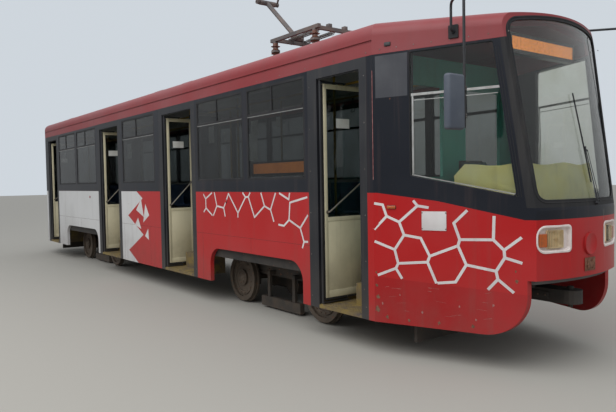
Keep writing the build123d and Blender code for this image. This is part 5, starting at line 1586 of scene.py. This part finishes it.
# The shell's side view (x, z), from the pan's front lip to the back's upper edge.
profile = [
    (0.205, 0.412), (0.200, 0.436), (0.170, 0.446), (0.080, 0.441), (-0.040, 0.430), (-0.120, 0.436),
    (-0.158, 0.470), (-0.174, 0.560), (-0.182, 0.700), (-0.190, 0.830), (-0.196, 0.880), (-0.207, 0.892),
]
pan_points, shell_columns, shell_half = 6, 8, 0.205


def add_shell(x, y):
    """One seat shell, with its sides turned up a little and its back slightly dished."""
    grid = []
    for i in range(shell_columns + 1):
        share = 2 * i / shell_columns - 1
        rise = 0.012 * share**6 - 0.006 * (1 - share**2)
        line = []
        for number, (ahead, up) in enumerate(profile):
            width = shell_half * (1.0 if 1 < number < 10 else 0.93)
            if number < pan_points:
                up += rise
            else:
                ahead += rise
            line.append(shells.verts.new((x + ahead, y + share * width, floor_z + up)))
        grid.append(line)
    return join_grid(shells, grid)


def add_pedestal(x, y, top_z):
    """A square post on a foot plate."""
    for half, low_z, high_z, edge in ((0.035, 0.008, top_z, 0.006), (0.075, 0.0005, 0.008, 0.003)):
        low, high = (x - half, y - half, floor_z + low_z), (x + half, y + half, floor_z + high_z)
        add_block(pedestals, low, high, edge)


single_x = [-4.6, -3.85, -3.1, -0.5, 0.25, 2.7, 3.45, 4.2]
double_x = [-6.0 + 0.76 * i for i in range(15)]
shell_faces = []
for x in single_x:
    shell_faces += add_shell(x, -0.94)
    add_pedestal(x, -0.94, 0.428)
for x in double_x:
    shell_faces += add_shell(x, 0.505) + add_shell(x, 0.935)
    add_pedestal(x, 0.72, 0.395)
    add_block(pedestals, (x - 0.025, 0.42, floor_z + 0.395), (x + 0.025, 1.02, floor_z + 0.428), 0.005)
bmesh.ops.recalc_face_normals(shells, faces=shells.faces)
bmesh.ops.solidify(shells, geom=shell_faces, thickness=0.007)
piece("seat_shells", shells, seat_shell, replaces=("seats",))
piece("seat_pedestals", pedestals, dull_tube)
print("seats", len(single_x), len(double_x))

# %% Ceiling rails, handles and lamps
rails, hangers, diffusers = new_meshes(3)
handle_y = 0.20
for y in (-0.62, handle_y):
    line = [(-5.9, y, rail + 3.088), (-5.9, y, rail + 2.95), (5.8, y, rail + 2.95), (5.8, y, rail + 3.088)]
    add_tube(rails, rounded_path(line, 0.06), 0.0155, 12)
    for x in (-4.98, -2.80, -0.78, 0.70, 2.35, 4.70):
        add_bar(hangers, (x, y, rail + 2.915), (x, y, rail + 2.985), 0.024, 16)
        add_bar(hangers, (x, y, floor_z + 0.0005), (x, y, floor_z + 0.014), 0.045, 20, 0.038)
for i in range(20):
    x = -5.4 + i * 0.56
    strap = [Vector((x, handle_y, rail + z)) for z in (2.935, 2.83)]
    add_tube(hangers, strap, 0.004, 6, flat=(0.012, 0.002))
    handle = [(x - 0.05, 2.74), (x, 2.83), (x + 0.05, 2.74), (x - 0.045, 2.74)]
    add_tube(hangers, rounded_path([(a, handle_y, rail + z) for a, z in handle], 0.02), 0.006, 6)
for i in range(9):
    x = -6.1 + i * 1.3
    for y in (-0.85, 0.62):
        add_block(diffusers, (x, y, rail + 3.060), (x + 1.0, y + 0.14, rail + 3.089), 0.012, 3)
piece("ceiling_rails", rails, rail_enamel)
piece("rail_fittings", hangers, sign_black)
piece("ceiling_lamps", diffusers, diffuser)
print("rails, handles and ceiling lamps made")

# %% [markdown]
# Below the floor: bolts and rings on the wheels, coil springs between bogie and body, axle box
# covers and hoses on the bogie frames, and louvred lids with latches on the equipment boxes.

# %% Wheel rings and bolts
def rings_about(mesh, axis, middle, rows, count):
    """Rings of vertices about X (0) or Y (1), one for each row (place along the axis, radius)."""
    rings = []
    for along, radius in rows:
        ring = []
        for i in range(count):
            turn = 2 * math.pi * i / count
            spot = [middle[0] + radius * math.cos(turn), middle[1] + radius * math.sin(turn)]
            spot.insert(axis, along)
            ring.append(mesh.verts.new(spot))
        rings.append(ring)
    return rings


bogies = {"front_bogie": bogie_x, "rear_bogie": -bogie_x}
wheel_z, wheel_face_y = rail + 0.35, 0.822 - 0.034
band_rows = [
    (wheel_face_y + 0.0002, 0.262), (wheel_face_y + 0.013, 0.256), (wheel_face_y + 0.013, 0.212),
    (wheel_face_y + 0.0002, 0.206),
]
hub_rows = [(0.8222, 0.100), (0.830, 0.094), (0.834, 0.058), (0.840, 0.050), (0.842, 0.001)]
# Circles of bolts: how many, the first one's turn in steps, the circle's radius and its y.
bolt_circles = ((16, 0.5, 0.234, wheel_face_y + 0.017), (8, 0, 0.076, 0.8355))
for bogie, centre in bogies.items():
    for end, x in (("front", centre + wheelbase / 2), ("rear", centre - wheelbase / 2)):
        rings, bolts = bmesh.new(), []
        for side in (-1, 1):
            band = rings_about(rings, 1, (x, wheel_z), [(side * y, radius) for y, radius in band_rows], 32)
            join_rings(rings, band + band[:1])
            hub = rings_about(rings, 1, (x, wheel_z), [(side * y, radius) for y, radius in hub_rows], 24)
            join_rings(rings, hub, True, True)
            for count, first, radius, y in bolt_circles:
                for i in range(count):
                    turn = 2 * math.pi * (i + first) / count
                    spot = (x + radius * math.cos(turn), side * y, wheel_z + radius * math.sin(turn))
                    bolts.append((spot, (0, side, 0)))
        body = f"{bogie}_{end}_axle"
        piece(f"{body}_rings", rings, wheel_steel, body)
        screwed(f"{body}_bolts", bolts, 0.0115, 0.009, 6, bolt_steel, "wheel_steel", body)
        print(body, len(bolts), "bolts")

# %% Springs, covers and hoses of the bogies
hose_line = [
    (0.42, 0.687, 0.52), (0.50, 0.694, 0.47), (0.62, 0.694, 0.46), (0.74, 0.694, 0.50), (0.80, 0.687, 0.54),
]
# Rows of bolts on each axle box cover: y, z and the places along the frame.
cover_bolt_rows = ((0.6875, rail + 0.265, (-0.09, -0.03, 0.03, 0.09)), (0.684, rail + 0.50, (-0.10, 0.10)))
for bogie, centre in bogies.items():
    spring_points = [((centre, side * 0.62, rail + 0.574), (0, 0, 1)) for side in (-1, 1)]
    grown(
        f"{bogie}_springs", point_cloud(spring_points), coil, "bogie_paint", bogie, Radius=0.112, Height=0.096,
        Turns=3.0, Wire=0.0105, Material=spring_steel,
    )
    covers, cover_bolts = bmesh.new(), []
    for end in (-1, 1):
        axle_x = centre + end * wheelbase / 2
        for side in (-1, 1):
            low, high = (axle_x - 0.105, 0.6805, rail + 0.245), (axle_x + 0.105, 0.6855, rail + 0.285)
            add_side_block(covers, side, low, high, 0.002)
            for y, z, shifts in cover_bolt_rows:
                cover_bolts += [((axle_x + shift, side * y, z), (0, side, 0)) for shift in shifts]
            hose = [(centre + end * ahead, side * y, rail + z) for ahead, y, z in hose_line]
            add_tube(covers, rounded_path(hose, 0.05, 4), 0.007, 8)
    piece(f"{bogie}_covers", covers, bogie_steel, bogie)
    screwed(f"{bogie}_bolts", cover_bolts, 0.010, 0.008, 6, bolt_steel, "bogie_paint", bogie)
    print(bogie, len(cover_bolts), "cover bolts")

# %% Lids, louvres and latches below and above the car
box_face_y, roof_lid_z = 1.05, crown_z + 0.078
lids, latches = new_meshes(2)
louvres = []
# The boxes below the floor: both ends, the lower edge's height and the sides with a lid.
for low_x, high_x, low_z, sides in (
    (-1.9, -0.7, rail + 0.34, (1,)), (-0.5, 0.5, rail + 0.36, (-1, 1)), (0.75, 1.9, rail + 0.34, (1,)),
):
    for side in sides:
        add_side_block(
            lids, side, (low_x + 0.03, box_face_y + 0.0003, low_z + 0.03),
            (high_x - 0.03, box_face_y + 0.006, rail + 0.665), 0.004,
        )
        for x in (low_x + 0.15, high_x - 0.15):
            near, far = box_face_y + 0.0055, box_face_y + 0.016
            add_side_block(latches, side, (x - 0.02, near, rail + 0.60), (x + 0.02, far, rail + 0.65), 0.004)
        for row in range(6):
            spot = ((low_x + high_x) / 2, side * (box_face_y + 0.0085), low_z + 0.075 + row * 0.032)
            louvres.append((spot, (0, side, 0)))
for low_x, high_x in ((-5.2, -3.4), (-2.6, -1.0), (1.5, 2.35)):
    low, high = (low_x + 0.02, -0.32, roof_lid_z + 0.0003), (high_x - 0.02, 0.32, roof_lid_z + 0.007)
    add_block(lids, low, high, 0.005)
    for x in (low_x + 0.12, (low_x + high_x) / 2, high_x - 0.12):
        for side in (-1, 1):
            low, high = (x - 0.018, 0.3403, roof_lid_z - 0.045), (x + 0.018, 0.349, roof_lid_z - 0.01)
            add_side_block(latches, side, low, high, 0.003)
piece("box_lids", lids, box_enamel)
piece("box_latches", latches, screw_metal)
grown("box_louvres", point_cloud(louvres), slats, "box_paint", Size=(0.42, 0.006, 0.016), Material=box_enamel)
print("louvres", len(louvres))

# %% Roof: vents, cable ducts, earthing cable and insulator sheds
vents, ducts, sheds, cable = new_meshes(4)
vent_y, vent_z, duct_y, duct_z = 0.62, crown_height(0.62), 0.88, crown_height(0.88)
for side in (-1, 1):
    for x in (-6.0, -0.35, 0.85, 5.0):
        low, high = (x - 0.20, vent_y - 0.13, vent_z - 0.012), (x + 0.20, vent_y + 0.13, vent_z + 0.055)
        add_side_block(vents, side, low, high, 0.022, 3)
    low, high = (-6.3, duct_y - 0.030, duct_z - 0.010), (5.6, duct_y + 0.030, duct_z + 0.022)
    add_side_block(ducts, side, low, high, 0.006)
piece("roof_vents", vents, roof_paint)
piece("roof_ducts", ducts, roof_box_enamel)
roof_pad_z = crown_z + 0.008
frame_corners = [(x, y) for x in (3.10, 4.05) for y in (-0.40, 0.40)]
for x, y in frame_corners:
    add_bar(sheds, (x, y, roof_pad_z + 0.004), (x, y, roof_pad_z + 0.285), 0.0395, 20)
    for i in range(5):
        low_z, radius = roof_pad_z + 0.030 + i * 0.052, 0.060 if i % 2 else 0.070
        add_bar(sheds, (x, y, low_z), (x, y, low_z + 0.012), radius, 24, 0.045)
        add_bar(sheds, (x, y, low_z - 0.006), (x, y, low_z), radius - 0.010, 24, radius)
piece("insulator_sheds", sheds, ceramic)
cable_line = [
    (3.30, 0.405, rail + 3.885), (3.45, 0.43, rail + 3.80), (3.52, 0.50, rail + 3.66),
    (3.50, 0.60, rail + 3.56), (3.42, 0.70, rail + 3.495), (3.30, 0.80, rail + 3.475),
    (3.20, 0.868, rail + 3.462),
]
add_tube(cable, rounded_path(cable_line, 0.12, 5), 0.011, 10)
piece("roof_power_cable", cable, rubber)
print("roof details made")

# %% Pantograph: springs, rods and fasteners
frame_z, spring_ends_y = rail + 3.86, (-0.14, 0.14)
spring_points = [((3.16, y, frame_z + 0.030), (1, 0, 0.02)) for y in spring_ends_y]
grown(
    "pantograph_springs", point_cloud(spring_points), coil, "box_paint", Radius=0.026, Height=0.62, Turns=26.0,
    Wire=0.0042, Material=spring_steel,
)
rods = bmesh.new()
for y in spring_ends_y:
    add_bar(rods, (3.10, y, frame_z + 0.030), (4.05, y, frame_z + 0.046), 0.008, 10)
    add_block(rods, (4.00, y - 0.03, frame_z + 0.020), (4.07, y + 0.03, frame_z + 0.075), 0.006)
    add_block(rods, (3.085, y - 0.018, frame_z + 0.020), (3.125, y + 0.018, frame_z + 0.055), 0.005)
piece("spring_rods", rods, arm_enamel)
frame_bolts = [((x + a, y, frame_z + 0.0285), (0, 0, 1)) for x, y in frame_corners for a in (-0.016, 0.016)]
screwed("pantograph_bolts", frame_bolts, 0.009, 0.007, 6, bolt_steel, "box_paint")
print("pantograph bolts", len(frame_bolts))

# %% [markdown]
# The body's panels meet in thin dark joints, rows of small screws hold the fascia and the door
# frames, and little round reflectors mark the sides.

# %% Panel joints
body_ends = [-6.58, 6.05]
doorway_ends = [x for rear, front, *_ in doors.values() for x in (rear, front)]
arch_ends = ((-4.83, -2.52), (2.52, 4.83))
right_joints = (-4.95, -3.67, -0.95, 0.30, 2.30, 3.675)
left_joints = (-5.4, -3.67, -2.2, -0.9, 0.4, 1.7, 3.675, 5.2)
for word, side, ends, joints in (
    ("right", -1, sorted(body_ends + doorway_ends), right_joints), ("left", 1, body_ends, left_joints),
):
    rows = []
    for low, high in zip(ends[::2], ends[1::2]):
        if high - low > 0.3:
            for z, width in ((rail + 1.025, 0.0035), (belt_z + 0.004, 0.0025)):
                rows.append(strip((low + 0.004, z), (high - 0.004, z), width))
    for x in joints:
        low_z = rail + (0.84 if any(a < x < b for a, b in arch_ends) else 0.335)
        rows.append(strip((x, low_z), (x, rail + 1.022), 0.0035))
    film(f"{word}_panel_joints", rows, side, seam_dark)

# %% Screws and reflectors
for side in (-1, 1):
    for i in range(25):
        screws.append(((-6.5 + i * 0.52, side * (half_width + 0.001), rail + 3.075), (0, side, 0)))
    for i in range(8):
        screws.append((on_side(6.15 + i * 0.17, side, rail + 3.085, 0.001), (nose_slope, side, 0)))
for rear, front, *_ in doors.values():
    for x in (rear + 0.035, front - 0.035):
        for i in range(6):
            screws.append(((x, -half_width - 0.001, rail + 0.45 + i * 0.48), (0, -1, 0)))
screwed("body_screws", screws, 0.0065, 0.003, 10, screw_metal, "frame_steel")
reflectors, rims = new_meshes(2)
reflector_z = rail + 1.516
for side, places in ((-1, (3.03, -3.00)), (1, (-5.6, -1.6, 1.4, 5.2))):
    for mesh, near, far, radius, end_radius in (
        (rims, 0.0003, 0.005, 0.030, 0.028), (reflectors, 0.0045, 0.009, 0.024, 0.021),
    ):
        start_y, end_y = side * (half_width + near), side * (half_width + far)
        for x in places:
            add_bar(mesh, (x, start_y, reflector_z), (x, end_y, reflector_z), radius, 24, end_radius)
piece("reflector_rims", rims, black_enamel)
# The reflectors share the red lens finish, so they glow a little though they are no lamps: painted light.
piece("side_reflectors", reflectors, red_lens)
print("body screws", len(screws))

# %% The disc's rim and the couplers' plates
disc_rim, coupler = new_meshes(2)
rim_rows = [(7.6865, 0.104), (7.6905, 0.104), (7.6915, 0.098), (7.6895, 0.092), (7.6872, 0.088)]
join_rings(disc_rim, rings_about(disc_rim, 0, (0, rail + 1.149), rim_rows, 40), True, True)
piece("mask_disc_rim", disc_rim, body_paint)
coupler_bolts = []
for end in (-1, 1):
    low_x, high_x = sorted((end * 7.10, end * 7.32))
    for side in (-1, 1):
        add_side_block(coupler, side, (low_x, 0.1103, rail + 0.59), (high_x, 0.122, rail + 0.66), 0.004)
        coupler_bolts += [((end * x, side * 0.1255, rail + 0.625), (0, side, 0)) for x in (7.13, 7.21, 7.29)]
    for low_z, high_z, radius, end_radius in ((0.52, 0.715, 0.022, 0.022), (0.700, 0.722, 0.036, 0.030)):
        add_bar(coupler, (end * 7.48, 0, rail + low_z), (end * 7.48, 0, rail + high_z), radius, 20, end_radius)
piece("coupler_plates", coupler, steel_dark)
screwed("coupler_bolts", coupler_bolts, 0.011, 0.008, 6, bolt_steel, "frame_steel")
print("coupler bolts", len(coupler_bolts))

# %% [markdown]
# Inside, the walls below the windows are lined with pale boards that end at the door frames.

# %% Wall lining
boards = bmesh.new()
board_length, board_count = 1.4, 0
for side, runs in ((1, ((-6.45, 5.95),)), (-1, ((-5.40, -2.47), (-1.03, 0.71), (2.15, 4.925)))):
    for rear, front in runs:
        count = max(1, round((front - rear) / board_length))
        for i in range(count):
            low_x, high_x = (rear + (front - rear) * (i + step) / count for step in (0, 1))
            add_side_block(
                boards, side, (low_x + 0.002, half_width - 0.0635, floor_z + 0.002),
                (high_x - 0.002, half_width - 0.0605, window_low_z - 0.003), 0.001, 1,
            )
        board_count += count
piece("wall_boards", boards, lining)
print("boards", board_count)

# %% [markdown]
# The lamps on the cab's sides are small lenses in rubber rims: amber ones low, dull dark ones high on
# the fascia. Use has left its marks: rust where the skirt's edges were knocked, pale scuffs and
# scratches below the film, and a rusty towing bracket. A thin pale line up the corner beside the
# front door, where the right side turns into the cab, is a painted highlight on that edge.

# %% Side lamps and grey panels
def add_lamp(mesh, x, z, side, layers, corner):
    """A stack of outlines (stand-off, half length, half height) on the cab's tapered side."""
    lamp = bmesh.new()
    add_stack(lamp, layers, (corner,) * 4, first_cap=True, steps=3)
    out = cab_way(side)
    turn = facing_way(out, (-side * out.y, side * out.x, 0))
    add_part(mesh, lamp, Matrix.Translation(on_side(x, side, rail + z)) @ turn)


lenses, dark_lenses, lamp_rims = new_meshes(3)
grey_outline = [[(6.10, rail + 2.60), (6.425, rail + 2.60), (6.425, rail + 3.02), (6.10, rail + 3.02)]]
for word, side in (("right", -1), ("left", 1)):
    for mesh, x, z, a, b in ((dark_lenses, 6.230, 3.125, 0.035, 0.020), (lenses, 6.252, 1.500, 0.050, 0.018)):
        rim = ((0.0005, a, b), (0.0045, a, b), (0.006, a - 0.0015, b - 0.0015))
        lens = ((0.0055, a - 0.003, b - 0.003), (0.011, a - 0.004, b - 0.004), (0.0138, a - 0.009, b - 0.008))
        add_lamp(lamp_rims, x, z, side, rim, 0.007)
        add_lamp(mesh, x, z, side, lens, 0.006)
    mirror_foot = ((0.0005, 0.048, 0.062), (0.012, 0.048, 0.062), (0.016, 0.044, 0.058))
    add_lamp(lamp_rims, mirror_root_x, 3.15, side, mirror_foot, 0.008)
    film(f"{word}_grey_panel", grey_outline, side, grey_gloss, nose_slope, 0.0002, 0.0004)
piece("side_lamp_rims", lamp_rims, rubber)
piece("side_lamp_lenses", lenses, amber_lens, replaces=("side_lamps",))
piece("fascia_lamp_lenses", dark_lenses, dash_skin)
print("side lamps made")

# %% Marks of use, a painted highlight and the towing bracket
blot_points, scratch_count = 13, 16


def blots(places, seed):
    """Uneven round outlines at places (x, z, radius)."""
    draw = random.Random(seed)
    outlines = []
    for x, z, radius in places:
        outline = []
        for i in range(blot_points):
            turn = 2 * math.pi * i / blot_points
            spot_x = x + radius * draw.uniform(0.45, 1.2) * math.cos(turn)
            outline.append((spot_x, rail + z + radius * draw.uniform(0.5, 1.5) * math.sin(turn)))
        outlines.append(outline)
    return outlines


rust_places = [
    (6.095, 0.46, 0.030), (6.105, 0.58, 0.022), (6.090, 0.70, 0.016), (6.085, 0.83, 0.012),
    (6.20, 0.385, 0.018), (6.42, 0.375, 0.014), (6.71, 0.38, 0.016), (7.02, 0.385, 0.017),
    (7.40, 0.84, 0.016), (7.39, 0.93, 0.010),
]
scuff_places = [
    (6.15, 0.52, 0.014), (6.55, 0.47, 0.012), (6.90, 0.56, 0.010), (7.20, 0.60, 0.014), (6.33, 0.62, 0.008),
    (7.05, 0.45, 0.012),
]
# A thin pale strip up the right side's corner at the cab's taper: a painted highlight on that edge.
corner_highlight = [strip((6.066, rail + 1.78), (6.066, rail + 2.88), 0.006)]
for word, side, spots, corner_highlight_lines in (("right", -1, rust_places, corner_highlight), ("left", 1, rust_places[::2], [])):
    film(f"{word}_rust_spots", blots(spots, 5 + side), side, rust_spot, nose_slope)
    draw = random.Random(41 + side)
    marks = blots(scuff_places, 9 + side)
    for _ in range(scratch_count):
        x, z = draw.uniform(6.15, 7.15), rail + draw.uniform(0.42, 0.72)
        end = (x + draw.uniform(0.03, 0.11), z + draw.uniform(-0.012, 0.02))
        marks.append(strip((x, z), end, draw.uniform(0.0012, 0.003)))
    film(f"{word}_pale_marks", marks + corner_highlight_lines, side, scuff_and_highlight, nose_slope)
bracket = bmesh.new()
add_block(bracket, (7.6755, -0.095, rail + 0.895), (7.6825, 0.085, rail + 1.020), 0.003)
for y in (-0.050, 0.030):
    add_block(bracket, (7.680, y - 0.012, rail + 0.915), (7.6948, y + 0.012, rail + 1.000), 0.004)
add_block(bracket, (7.6755, -0.047, rail + 0.923), (7.6942, 0.047, rail + 0.982), 0.003)
add_bar(bracket, (7.6885, -0.075, rail + 0.957), (7.6885, 0.058, rail + 0.957), 0.0062, 14)
piece("towing_bracket", bracket, rust_spot)
print("marks of use made")
